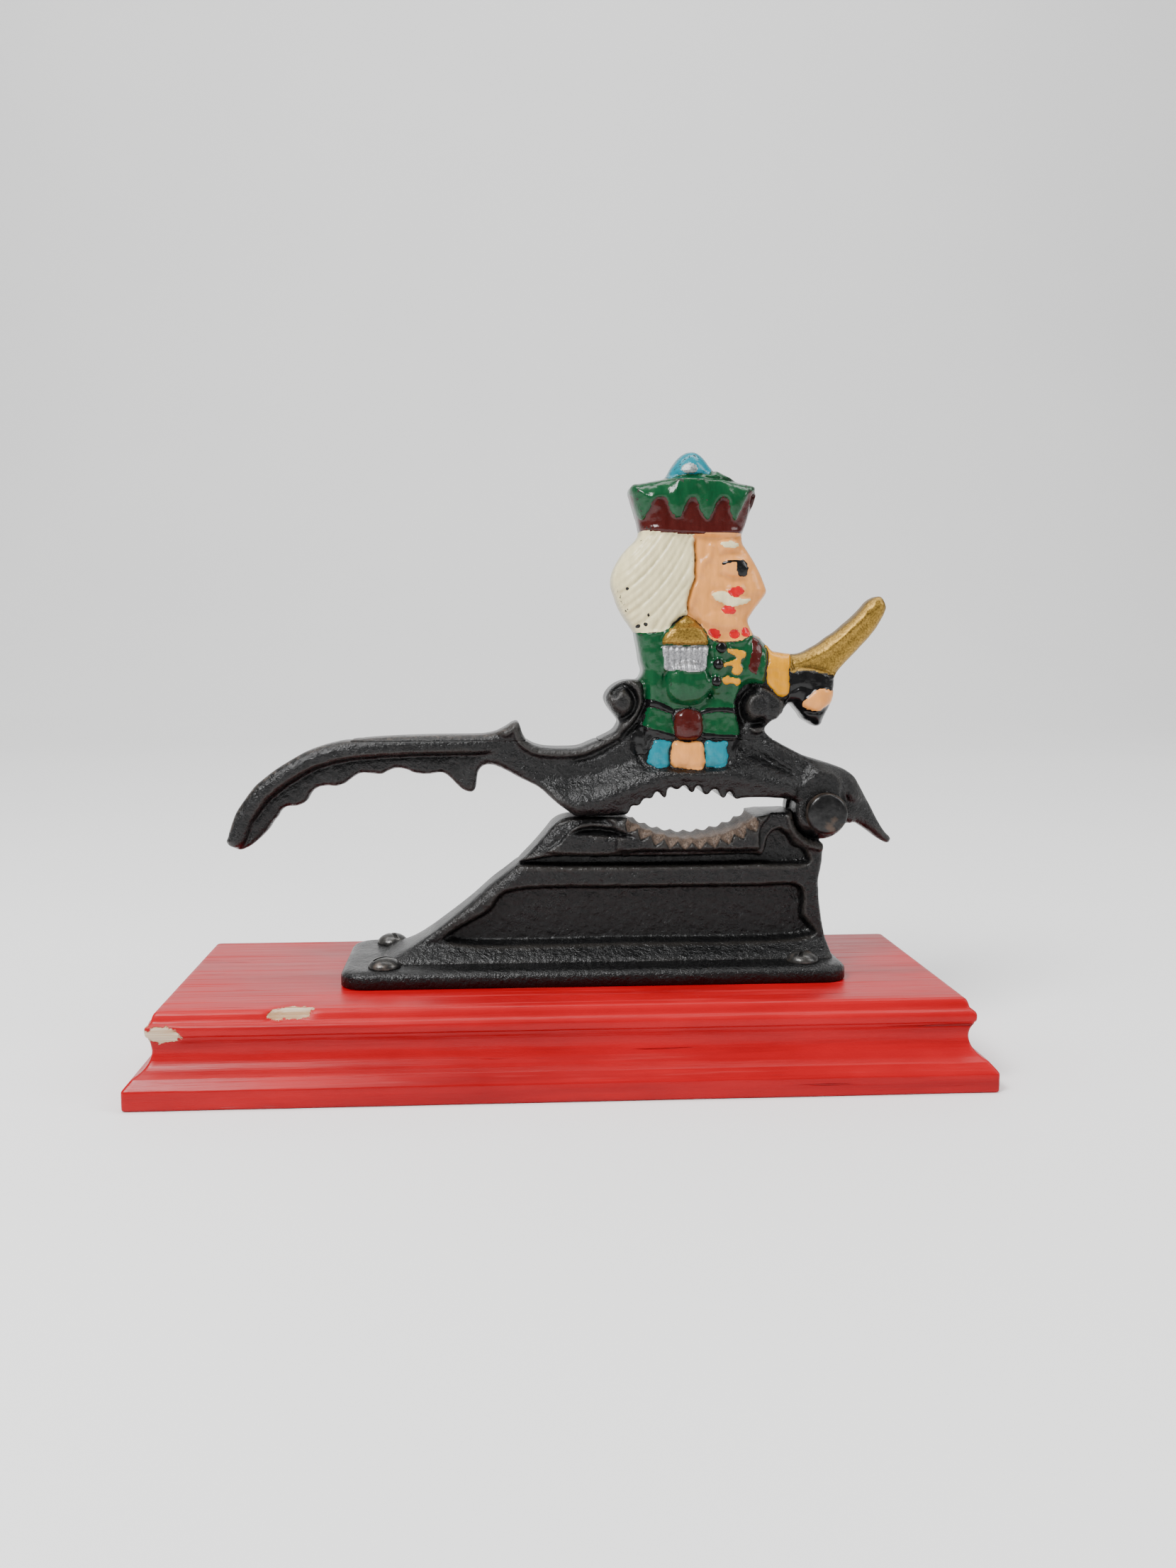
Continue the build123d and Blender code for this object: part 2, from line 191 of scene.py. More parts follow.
class Relief:
    """Half-thickness and edge rounding over a board, built up one feature after another."""

    def __init__(self, board, silhouette, half, edge):
        self.board = board
        self.D = silhouette
        self.H = half
        self.R = edge

    def level(self, points, half, soft, edge=None, depth=None):
        """The face inside an outline goes to this half-thickness."""
        away = self.board.inside(points if depth is None else on_face(points, depth))
        share = ramp(0, soft, -away)
        self.H = blend(self.H, half, share)
        if edge is not None:
            self.R = blend(self.R, edge, ramp(-0.4, 0.4, -away))

    def swell(self, points, rise, soft, depth=7.0):
        """A pillow: a raised area with a rounded rim."""
        away = self.board.inside(on_face(points, depth))
        t = np.clip(-away / soft, 0, 1)
        self.H = self.H + rise * np.sqrt(1 - (1 - t) ** 2)

    def dome(self, x, z, radius, rise, depth=7.0, tall=1.0):
        """A shallow cap, tall times as high as it is wide."""
        (x, z), = on_face([(x, z)], depth)
        u = self.board.X - x
        v = (self.board.Z - z) / tall
        self.H = self.H + rise * np.sqrt(np.clip(1 - (u * u + v * v) / radius ** 2, 0, 1))

    def line(self, points, width, rise, depth=7.0):
        """A bead along a line, or a groove where rise is negative."""
        away = self.board.distance(on_face(points, depth))
        self.H = self.H + rise * np.exp(-(away / width) ** 2)

    def half_width(self, x, z, lift=0.0):
        D, H, R = (self.board.sample(m, x, z) for m in (self.D, self.H, self.R))
        R = np.minimum(R, H - 0.35)
        t = np.clip(1 + (D - lift) / R, 0, 1)
        return H + lift - R * (1 - np.sqrt(1 - t * t))


# ======== meshes ========
def mesh_object(name, verts, faces, attributes=None):
    mesh = bpy.data.meshes.new(name)
    mesh.from_pydata((np.asarray(verts) * MM).tolist(), [], faces)
    mesh.update()
    mesh.polygons.foreach_set("use_smooth", np.ones(len(mesh.polygons), bool))
    for key, values in (attributes or {}).items():
        made = mesh.attributes.new(key, "FLOAT", "POINT")
        made.data.foreach_set("value", np.asarray(values, np.float32))
    obj = bpy.data.objects.new(name, mesh)
    bpy.context.collection.objects.link(obj)
    return obj


def relief_mesh(name, board, region, half_width, layers=4, attributes=None):
    """A closed solid: the region as seen from the front, half_width thick each way from the mid-plane."""
    step = board.step
    dz, dx = np.gradient(region, step)
    slope = np.hypot(dx, dz) + 1e-6
    steepest = np.maximum(abs(dx), abs(dz)) / slope
    rim = abs(region) / slope <= 0.51 * step * steepest
    used = (region < 0) | rim
    shift = np.where(rim, np.clip(region / slope, -0.6 * step, 0.6 * step), 0)
    X = board.X - shift * dx / slope
    Z = board.Z - shift * dz / slope
    corner = [np.s_[:-1, :-1], np.s_[:-1, 1:], np.s_[1:, 1:], np.s_[1:, :-1]]
    use4 = np.stack([used[c] for c in corner], -1)
    rim4 = np.stack([rim[c] for c in corner], -1)
    mean = np.stack([region[c] for c in corner], -1).mean(-1)
    count = use4.sum(-1)
    all_rim = (use4 & ~rim4).sum(-1) == 0
    quads = (count == 4) & ~(all_rim & (mean > 0))
    thirds = (count == 3) & ~all_rim
    flat = np.arange(region.size).reshape(region.shape)
    ids = np.stack([flat[c] for c in corner], -1)
    quads = ids[quads]
    triangles = np.vstack([ids[thirds & ~use4[..., k]][:, [(k + 1) % 4, (k + 2) % 4, (k + 3) % 4]]
                           for k in range(4)])
    kept = np.unique(np.concatenate([quads.ravel(), triangles.ravel()]))
    number = np.full(region.size, -1)
    number[kept] = np.arange(len(kept))
    quads, triangles = number[quads], number[triangles]
    x, z = X.ravel()[kept], Z.ravel()[kept]
    n = len(kept)
    edges = np.vstack([np.stack([f, np.roll(f, -1, 1)], -1).reshape(-1, 2) for f in (quads, triangles)])
    key = edges.min(1) * n + edges.max(1)
    _, first, times = np.unique(key, return_index=True, return_counts=True)
    border = edges[first[times == 1]]
    before, after = np.arange(n), np.arange(n)
    after[border[:, 0]] = border[:, 1]
    before[border[:, 1]] = border[:, 0]
    for _ in range(2):
        x = (x[before] + 2 * x + x[after]) / 4
        z = (z[before] + 2 * z + z[after]) / 4
    y = half_width(x, z)
    rim_ids = np.unique(border)
    place = np.full(n, -1)
    place[rim_ids] = np.arange(len(rim_ids))
    verts = [np.stack([x, -y, z], 1), np.stack([x, y, z], 1)]
    where = [rim_ids]
    for k in range(1, layers):
        share = 2 * k / layers - 1
        verts.append(np.stack([x[rim_ids], share * y[rim_ids], z[rim_ids]], 1))
        where.append(2 * n + (k - 1) * len(rim_ids) + np.arange(len(rim_ids)))
    where.append(n + rim_ids)
    a, b = place[border[:, 0]], place[border[:, 1]]
    walls = [np.stack([low[b], low[a], high[a], high[b]], 1) for low, high in zip(where, where[1:])]
    out = [f.tolist() for f in (quads, triangles, quads[:, ::-1] + n, triangles[:, ::-1] + n, *walls)]
    data = {}
    for label, values in (attributes or {}).items():
        v = board.sample(values, x, z)
        data[label] = np.concatenate([v, v] + [v[rim_ids]] * (layers - 1))
    return mesh_object(name, np.vstack(verts), sum(out, []), data)


def level_ring(half_x, half_y, corner, z, shift=(0, 0), counts=(64, 28, 7)):
    """Points round a level rectangle with rounded corners, starting at the front left."""
    along, across, bend = counts
    points = []
    sides = [(-1, -1, 1, 0, half_x, along), (1, -1, 0, 1, half_y, across),
             (1, 1, -1, 0, half_x, along), (-1, 1, 0, -1, half_y, across)]
    for k, (cx, cy, sx, sy, half, count) in enumerate(sides):
        start = np.array([cx * (half_x - corner), cy * (half_y - corner)])
        turn = math.radians(180 + 90 * k)
        for i in range(bend):
            angle = turn + math.radians(90) * i / bend
            points.append(start + corner * np.array([math.cos(angle), math.sin(angle)]))
        out = np.array([sy, -sx]) * corner
        for i in range(count):
            points.append(start + out + np.array([sx, sy]) * (2 * (half - corner)) * i / count)
    ring = np.array(points) + np.array(shift)
    return np.column_stack([ring, np.full(len(ring), z)])


def loft(name, loops, shape=None):
    """A closed solid through level loops, whose two ends are closed by ever smaller rings."""
    n = len(loops[0])
    verts = np.vstack(loops)
    last = (len(loops) - 1) * n
    faces = []
    for k in range(len(loops) - 1):
        for i in range(n):
            j = (i + 1) % n
            faces.append((k * n + i, k * n + j, (k + 1) * n + j, (k + 1) * n + i))
    for start, turn in ((0, -1), (last, 1)):
        rim = verts[start:start + n]
        middle = rim.mean(0)
        middle[1] = 0.5 * (rim[:, 1].min() + rim[:, 1].max())
        previous = [start + i for i in range(n)]
        for share in (0.92, 0.7, 0.4, 0.15):
            now = [len(verts) + i for i in range(n)]
            verts = np.vstack([verts, middle + (rim - middle) * np.array([0.55 + 0.45 * share, share, 1])])
            for i in range(n):
                j = (i + 1) % n
                faces.append((previous[i], previous[j], now[j], now[i])[::turn])
            previous = now
        faces.append(tuple(previous)[::turn])
    if shape is not None:
        verts = shape(verts)
    return mesh_object(name, verts, faces)


def turned(name, profile, centre, axis, count=64, dent=0.0):
    """A solid of revolution: profile is (distance along the axis, radius), closed by its two ends."""
    angles = np.linspace(0, 2 * math.pi, count, endpoint=False)
    axis = np.array(axis, float)
    side = np.cross(axis, (0, 0, 1.0)) if abs(axis[2]) < 0.5 else np.array([1.0, 0, 0])
    up = np.cross(side, axis)
    verts = []
    for along, radius in profile:
        for t in angles:
            r = radius * (1 + dent * math.sin(3 * t + along) * math.sin(5 * t - 2 * along))
            verts.append(np.array(centre) + axis * along + side * r * math.cos(t) + up * r * math.sin(t))
    faces = []
    for k in range(len(profile) - 1):
        for i in range(count):
            j = (i + 1) % count
            faces.append((k * count + i, k * count + j, (k + 1) * count + j, (k + 1) * count + i))
    last = (len(profile) - 1) * count
    faces.append(tuple(reversed(range(count))))
    faces.append(tuple(range(last, last + count)))
    obj = mesh_object(name, verts, faces)
    shape = bmesh.new()
    shape.from_mesh(obj.data)
    bmesh.ops.recalc_face_normals(shape, faces=shape.faces)
    shape.to_mesh(obj.data)
    shape.free()
    return obj


# ======== the lever casting, with the soldier ========
board = Board(-82, 83, 47, 145.5, LEVER_GRID)
X, Z = board.X, board.Z

HANDLE_TOP = [(-78.6, 52.4), (-78.3, 53.2), (-77.8, 55), (-76.5, 58.5), (-75, 61), (-72, 65), (-70, 66.8),
    (-67, 69.1), (-64, 71), (-60, 73.2), (-55, 74.9), (-50, 75.9), (-45, 76.4), (-40, 76.7), (-35, 76.9),
    (-30, 77), (-20, 77.1), (-17, 77.4), (-15, 77.9), (-13, 78.9), (-12, 79.6), (-11, 80.1), (-10.2, 80.1)]
NECK_TOP = [(-10.2, 80.1), (-9.6, 79), (-9.2, 77.5), (-8.5, 76.2), (-7, 75), (-5, 74.3), (-3, 74), (0, 73.9),
    (4, 74.1), (7, 75.2), (10, 76.5), (12.5, 77.8), (13.3, 78.8), (13.8, 80)]
SCROLL_LEFT = [(13, 81.2), (12, 82.5), (11, 84), (10.5, 85.5), (11, 87), (12.3, 88.5), (14, 89.5), (16, 90),
    (18, 90)]
BACK = [(18.8, 90.5), (19.5, 92), (19, 94), (18.5, 97), (18, 99.5), (17.7, 101), (17.7, 101)]
HAIR_EDGE = [(16.5, 102.8), (15, 105), (13.7, 107.5), (12.8, 110), (12.2, 112), (12.2, 114), (12.6, 115.5),
    (13.3, 117), (14.5, 119), (16, 120.8), (17.5, 122.2), (18.5, 123.5), (18.7, 124.8), (18.7, 124.8)]
HAT_EDGE = [(18.2, 127), (17.5, 129.5), (16.8, 131.5), (16.3, 133.5), (16.5, 134.7), (17.2, 135.3),
    (19, 135.5), (21, 135.9), (23, 136.3), (24.5, 136.8), (25.4, 137.8), (26, 139), (27, 140.5), (28, 141.7),
    (29.3, 142.6), (30.5, 142.9), (31.7, 142.8), (33, 142), (34, 140.9), (35, 139.6), (35.7, 138.9),
    (37, 138.2), (39, 137.2), (41, 136.3), (43, 135.7), (45, 135.1), (45.6, 134.5), (45.8, 133.5),
    (45.3, 131.5), (44.5, 129), (43.7, 126.5), (43, 124.5)]
PROFILE = [(42.8, 124), (42.7, 123), (43, 121.8), (44, 120.3), (45.5, 118), (47, 115.3), (48.3, 112.3),
    (48.7, 110.8), (48.3, 109.8), (47, 108), (46, 106.7), (45, 105.2), (44.4, 104.2), (44.5, 103.3),
    (44.9, 102.3), (45.5, 101.2), (46, 100.4)]
ARM_TOP = [(47.2, 100), (48, 99), (49, 97.8), (50, 96.9), (50.3, 96.6), (52, 96.3), (54, 96), (55.5, 95.9)]
SWORD = [(57, 96), (58.5, 96.5), (60, 97.3), (62, 98.4), (64, 99.9), (66, 101.2), (68, 102.9), (70, 104.6),
    (72, 106.6), (73.5, 108.3), (74.8, 109.2), (75.9, 109.6), (76.8, 109.5), (77.5, 108.6), (78, 107.2),
    (77.7, 106), (77, 104.5), (75.5, 102), (73.5, 99.5), (71, 96.8), (68.5, 94.2), (66.5, 92), (65.5, 90.8)]
GLOVE_EDGE = [(65.5, 90), (65.4, 88.5), (65.2, 87.5), (64.9, 85.5), (64.3, 83.5), (63.5, 82), (62.8, 80.3),
    (62.4, 79.3), (61.6, 78.9), (60.8, 79), (59.5, 79.8), (58.3, 80.6), (57.5, 81.8), (56.5, 83), (55.7, 84),
    (55, 84.3)]
SCROLL_RIGHT = [(54.2, 84.1), (53.4, 83.2), (52.8, 82.3), (52, 81.6), (51.3, 80.8), (50, 80.2), (49, 79.3),
    (48.4, 78.3)]
SHOULDER = [(49.5, 76.6), (52, 75), (55, 73.4), (58, 71.9), (61, 70.9), (64, 70), (67, 69), (69, 67.9),
    (70.5, 66.7), (71.5, 65.3)]
SPIKE = [(73, 62.9), (75, 59.6), (77, 56), (79, 53), (80.3, 51.7), (80.6, 51), (80, 50.2), (79, 50.3),
    (77, 51.5), (75, 53), (73, 54.4), (71.5, 55.3), (70.5, 55.5), (69, 55.4)]
UNDER_HINGE = [(63, 57), (57, 60.5), (54, 61.6), (50, 62.2), (45, 62.3), (43, 62.2)]
UPPER_TEETH = [(42.2, 62.1), (41.4, 61.9), (40.8, 62.1), (40.4, 62.9), (40, 63.7), (39.4, 63.8), (39, 63.2),
    (38.7, 62.5), (38.2, 62.2), (37.6, 62.4), (37.2, 63.3), (36.6, 64.2), (35.8, 64.3), (35.1, 63.8),
    (34.8, 63.3), (34.2, 63), (33.5, 63.2), (33.1, 63.9), (32.7, 65), (32.1, 65.3), (31.6, 65), (31.3, 64.1),
    (31, 63.6), (30.4, 63.6), (29.9, 64.1), (29.4, 65.1), (28.8, 65.4), (28.2, 65), (27.7, 64.5), (27, 64.3),
    (26.3, 64.5), (25.8, 64.9), (25.2, 64.8), (24.8, 64), (24.6, 62.7), (24.2, 62.3), (23.7, 62.6),
    (23.1, 63.5), (22.6, 63.9), (22, 63.7), (21.6, 63), (21.3, 62.4), (20.6, 62.2), (19.8, 62.3), (19.1, 62),
    (18.7, 61.3), (18.3, 60.7), (17.5, 60.5), (16.9, 60.6)]
REST = [(16.3, 60.3), (15.8, 59.2), (14.5, 58.2), (9, 58), (4, 58), (2.6, 58.5)]
BELLY = [(1, 59.6), (-1, 61.1), (-3, 62.8), (-5, 64.5), (-7, 65.6), (-10, 67), (-12.5, 68.4), (-15, 69.6),
    (-16.5, 70), (-18, 69.9), (-19, 69.3), (-19.7, 68), (-20, 66), (-20.3, 64.3), (-21, 63.5), (-22, 63.5),
    (-23.3, 64), (-24.5, 65), (-26, 66.6), (-27.3, 67.7), (-28.5, 68.1)]
GRIP = [(-31.5, 67.8), (-33.5, 67.9), (-35, 68.2), (-36.5, 68.9), (-38.3, 69.2), (-39.5, 69.1), (-41, 68.5),
    (-42.5, 67.8), (-45, 68), (-47, 68.1), (-48, 67.8), (-49.5, 66.8), (-51, 65.7), (-53, 65.1), (-55, 65.2),
    (-57, 64.9), (-58.5, 64), (-59.3, 62.9), (-60, 61.6), (-61, 60.9), (-62.5, 60.4), (-64.5, 60.3),
    (-65.5, 59.8), (-66.4, 58.9), (-66.8, 58), (-68, 56.6), (-69, 55), (-70.5, 53.4), (-72, 52), (-73.5, 51),
    (-75.5, 50.3), (-77, 50.9), (-78.2, 51.6)]

outline = (HANDLE_TOP + NECK_TOP[1:] + SCROLL_LEFT + BACK + HAIR_EDGE + HAT_EDGE + PROFILE + ARM_TOP + SWORD
           + GLOVE_EDGE + SCROLL_RIGHT + SHOULDER + SPIKE + UNDER_HINGE + UPPER_TEETH + REST + BELLY + GRIP)
silhouette = join(board.inside(outline), board.circle(PIVOT[0], PIVOT[2], EAR), soft=0.6)

# handle: a flange along the top over a thinner web, which thickens into the neck; half-thicknesses
FLANGE = 5.5
NECK = 5.2
from_top = board.distance(HANDLE_TOP[2:])
web = blend(4.2, 2.6, ramp(-74, -68, X)) + 0.25 * np.sin(X / 3.1)
half = web + (FLANGE - web) * ramp(5.0, 3.7, from_top)
half = half - 0.5 * np.exp(-((from_top - 4.7) / 0.45) ** 2)
half = blend(half, NECK, ramp(-25, -13, X))
edge = blend(2.4, 1.3, ramp(3.0, 4.4, from_top))
edge = blend(edge, 2.2, ramp(-24, -14, X))
lever = Relief(board, silhouette, half, edge)

# the crest bead along the neck, and the belly that swells to the full width of the jaws
lever.H += 1.4 * ramp(2.6, 1.4, board.distance(HANDLE_TOP[-4:] + NECK_TOP[1:]))
ridge_x = [-9, -6, 2, 8, 17, 24, 31, 40, 47, 54, 58]
ridge_z = [63, 61, 60.6, 61.6, 65, 67.2, 68, 67.6, 66.2, 64.6, 63]
above = Z - np.interp(X, ridge_x, ridge_z)
belly = np.where(above > 0, 1 - ramp(0, 7.0, above), 1 - 0.28 * ramp(0, 4.5, -above))
belly = belly * ramp(-12, -1, X) * ramp(60, 55, X) * ramp(84, 78, Z)
lever.H += 4.3 * belly
lever.R = blend(lever.R, 0.7, ramp(66.5, 65, Z) * ramp(14, 16, X) * ramp(54, 50, X))

# the shoulder over the hinge, the fork's two ears and the spike
lever.H += 1.3 * ramp(5.2, 3.6, board.distance(SHOULDER)) * ramp(46, 51, X)
lever.level([(56.5, 64), (59, 67.5), (62, 69.8), (66, 69.3), (70, 66.8), (70.6, 62), (70.3, 57), (69.5, 54.6),
    (67, 52.6), (62.5, 51.3), (58, 52.9), (55.8, 56.5), (55.5, 60)], 8.5, 2.6, edge=1.6, depth=8.5)
spike = ramp(67.5, 75, X) * ramp(75, 70, Z)
lever.H = blend(lever.H, 5.0 - 0.2 * (X - 70), spike)
lever.R = blend(lever.R, 2.4, spike)

# scrolls that hold the soldier's seat
SEAT_LEFT = [(12, 77), (9.5, 85), (13, 91.5), (18.3, 90.6), (20.3, 87), (20.2, 84), (19, 81), (16.5, 77.5)]
SEAT_RIGHT = [(42.3, 85.2), (43, 87.2), (45, 88.5), (47, 88.9), (50, 88.3), (53, 86), (56, 83), (52, 78),
    (47, 76.3), (44.2, 79.5), (42.9, 82.5)]
for seat_side in (SEAT_LEFT, SEAT_RIGHT):
    lever.level(seat_side, 6.9, 1.2, edge=2.2, depth=6.9)

# tunic, skirt and trousers
lever.level([(20.4, 69), (26, 67.9), (34, 67.6), (40.6, 68.6), (42.5, 73), (44, 77), (43.4, 82), (44.6, 88.5),
    (49, 88.5), (50.5, 92), (50.8, 96.5), (48, 101), (44, 103), (18, 103), (16, 98), (17, 91.5), (20, 89),
    (20.4, 84), (19.6, 80), (19.8, 73)], 6.6, 1.6, edge=4.2, depth=6.6)
lever.dome(28, 95, 13, 0.9, tall=0.8)
lever.dome(30.5, 88.3, 5.8, 2.2)
lever.dome(41, 93, 7, 0.6, tall=1.1)

# head, hat and pompon
HAIRLINE = [(32.1, 122.5), (32.4, 119), (32.2, 115.5), (32.4, 114.2), (31.4, 111.8), (30.9, 110), (30.5, 108)]
HAIR = [(18.4, 125.4), (32.5, 124.6), *HAIRLINE, (30.7, 106.2), (30.9, 105.4), (29.5, 105.2), (27.5, 103.7),
    (25.2, 101.4), (23, 101.1), (17.4, 100.9), (12, 101), (8, 112), (12, 123)]
FACE = [(32.1, 124.6), *[(round(x - 0.2, 1), z) for x, z in HAIRLINE], (30.4, 106.4), (30.4, 105.2),
    (32.6, 103.8), (34.6, 101.6), (35.6, 99.8), (37.5, 99), (42.5, 99), (44.4, 99.7), (46.3, 100.4),
    (51, 100), (54, 112), (48, 124), (43.4, 124.8)]
lever.level(FACE, 6.1, 1.0, edge=4.4, depth=6.5)
lever.level(HAIR, 6.8, 0.7, edge=5.0, depth=7)
lever.dome(22.5, 113, 10.5, 0.9, tall=1.15)
lever.level([(15.5, 125), (30, 123.9), (43.6, 124), (46.5, 133), (46.2, 137), (14.6, 137)], 7.0, 0.9,
    edge=5.4, depth=7.2)
lever.level([(24.2, 138.6), (26, 138), (30, 138), (34, 138.2), (37, 138.8), (38, 146), (23, 146)], 6.0, 1.0,
    edge=5.4, depth=6)

# arm, glove and sword
ARM = [(49.6, 97.4), (49.9, 94), (49.4, 92), (49.7, 89.5), (50.2, 88.3), (51.5, 86.6), (53.5, 85.2), (54, 84),
    (54.5, 80), (62, 76), (68, 84), (67, 92), (58, 97.5)]
lever.level(ARM, 5.2, 1.3, edge=3.8, depth=5.5)
GLOVE_TOP = [(56.5, 91.6), (58, 92), (60, 92), (62, 91.6), (64, 91.2)]
lever.level([(55.3, 91.9), *GLOVE_TOP, (66.5, 90.5), (82, 98), (82, 113), (69, 113), (55.6, 97.5)], 3.5, 1.0,
    edge=2.6, depth=3.6)
lever.dome(61, 86, 6.5, 0.6, depth=5)

# ---- fine modelling ----
# seat scrolls: spiral grooves, with round eyes
lever.line([(12.9, 86.5), (14, 87.8), (15.6, 88.3), (17.4, 86.7), (18.2, 84.2), (17.2, 81.8), (15, 80.4),
    (13.4, 81)], 0.75, -2.0)
lever.dome(14.4, 84.8, 2.7, 0.9)
lever.line([(46.8, 87.8), (44.8, 86.4), (43.7, 83.8), (44.3, 81.2), (46, 79.2), (48.6, 79.4)], 0.95, -2.6)
lever.dome(47.6, 83.4, 2.9, 0.9)
lever.line([(20.3, 87), (20.4, 84), (19, 81), (17, 78.5), (15, 77)], 0.5, -0.8)
lever.line([(4, 70.5), (8, 71.5), (12, 74), (15, 76), (18, 79)], 0.9, -0.7)
lever.line([(44, 73.5), (48, 71.5), (52, 69), (56, 67.2)], 0.9, -0.7)
for skirt_side in ([(19.3, 80), (18, 76.5), (18.6, 72.5), (20.4, 69.5)],
                   [(44.4, 79), (44.2, 75), (42.6, 71), (41, 68.9)]):
    lever.line(skirt_side, 0.7, -0.6)

# epaulette with its silver fringe
EPAULETTE = [(24.1, 99), (24.9, 100.8), (27.5, 103.3), (29.5, 104.8), (30.8, 105.2), (32.5, 104),
    (34.3, 101.8), (35.2, 99.8), (35.2, 98.2), (33, 98), (30, 97.9), (27, 98), (24.6, 98.3)]
FRINGE = [(24.5, 98), (24.4, 95), (24.6, 92.6), (25.6, 91.9), (28, 92), (31, 91.6), (33.8, 91.8), (35, 92.7),
    (35.2, 95), (35.2, 98), (30, 98.1)]
lever.swell(FRINGE, 0.9, 1.0)
lever.swell(EPAULETTE, 1.5, 1.8)
for x in (26, 27.4, 28.8, 30.2, 31.6, 32.9, 34.1):
    lever.line([(x, 97.6), (x - 0.1, 95), (x + 0.1, 92.3)], 0.36, -0.8)
lever.line([(24.6, 98), (27, 97.8), (31, 97.8), (35.2, 98)], 0.35, -0.5)

# buttons on their bumps, the frogging and the sash
BUTTONS = [(38.4, 97.6, 1.25), (37.7, 93.6, 1.2), (37.3, 89.5, 1.15)]
for x, z in ((38.4, 96.9), (37.5, 92.7), (37.3, 88.6)):
    lever.dome(x, z, 2.3, 0.7)
for x, z, radius in BUTTONS:
    lever.dome(x, z, radius + 0.25, 0.8)
FROGS = [[(39.7, 97.3), (40.4, 97.5), (42, 97.3), (44, 96.9), (44.7, 96), (44.2, 95), (43, 94.8),
          (41.5, 95.6), (40, 96.3)],
         [(38.9, 93.8), (41, 94.6), (42.6, 95.1), (43.6, 94.7), (43.4, 93.7), (43.9, 92.4), (43.2, 91.1),
          (42, 90.9), (41, 91.8), (41.2, 92.9), (40.3, 93.1), (39, 92.8)],
         [(38.6, 90), (40, 91), (41, 90.6), (43, 90.2), (43.4, 89.2), (42.5, 88.3), (41, 88.8), (39.5, 88.7)]]
for frog in FROGS:
    lever.swell(frog, 0.5, 0.6)
SASH = [(46.3, 99.9), (47.6, 99.8), (48.8, 98), (48.5, 95.5), (47.9, 93), (47.1, 91.0), (45.1, 92.4),
    (45.4, 94.7), (45.9, 97.2)]
lever.swell(SASH, 0.25, 0.6)
lever.line([(36.2, 99.4), (38.5, 98.8), (42, 98.7), (44.6, 99.5), (46, 100.5)], 0.6, 0.5)
lever.line([(36.2, 98.3), (36.6, 94), (35.9, 90), (36, 86)], 0.5, -0.5)
lever.line([(25, 90.8), (25.5, 86.5), (28, 84), (33, 83.9), (36, 86.5)], 0.55, -0.9)

# belt, buckle, skirt and knees
lever.line([(20.2, 84.4), (23, 84.2), (26.4, 82.4)], 0.9, 0.45)
lever.line([(34.6, 82), (38, 82.6), (42.6, 82.2)], 0.9, 0.45)
BUCKLE = [(27.2, 79), (27.4, 81), (28.4, 82.4), (30.7, 82.9), (33, 82.4), (34.2, 81), (34.4, 79),
    (34.1, 76.9), (33, 75.6), (30.7, 75.2), (28.5, 75.6), (27.5, 76.9)]
lever.swell(BUCKLE, 1.9, 2.6)
lever.line([(19.6, 78.8), (23, 77.6), (27.3, 76.2)], 0.5, 0.5)
lever.line([(34.3, 76.4), (38, 76.2), (43.7, 75.9)], 0.5, 0.5)
KNEE = [(27.3, 75.2), (30.5, 75), (34, 75), (34.8, 72.5), (35, 69.5), (34, 68.4), (32.5, 68.2), (30, 68.6),
    (27.5, 68.7), (26.5, 70), (26.4, 71.5), (26.8, 73.5)]
LEG_LEFT = [(22.8, 75.6), (26.5, 75.2), (27, 75), (26.2, 72.5), (26.4, 69.8), (25.8, 69), (23.8, 68.6),
    (22, 69.3), (20.9, 69.8), (21.2, 71.5), (21.5, 73), (22.2, 74.5)]
LEG_RIGHT = [(35, 75.1), (37.5, 75), (40.4, 75), (40.3, 73.3), (40.7, 71.5), (40.2, 69.5), (39, 68.7),
    (37, 68.8), (35, 68.9), (34.9, 72)]
lever.swell(KNEE, 1.5, 2.2)
lever.swell(LEG_LEFT, 1.0, 1.6)
lever.swell(LEG_RIGHT, 1.0, 1.6)

# combed hair
within_hair = ramp(0.0, 1.0, -board.inside(on_face(HAIR, 7)))
combed = np.zeros(X.shape)
for k in np.arange(-11, 14):
    lean = math.radians(47 + 1.3 * k)
    run = np.linspace(-20, 20, 9)
    bow = 0.012 * (run ** 2) * (1 if k < 4 else -0.6)
    middle_x, middle_z = 22 + k * 1.22, 112.5 - k * 1.0
    line = np.stack([middle_x + run * math.cos(lean) - bow * math.sin(lean),
                     middle_z + run * math.sin(lean) + bow * math.cos(lean)], 1)
    strand = board.distance(on_face(line, 7))
    strong = 0.5 + 0.16 * math.sin(2.3 * k)
    combed = np.maximum(combed, strong * np.exp(-(strand / 0.46) ** 2))
lever.H -= combed * within_hair
lever.line([(32.4, 124), *HAIRLINE, (30.7, 106)], 0.4, -0.45)

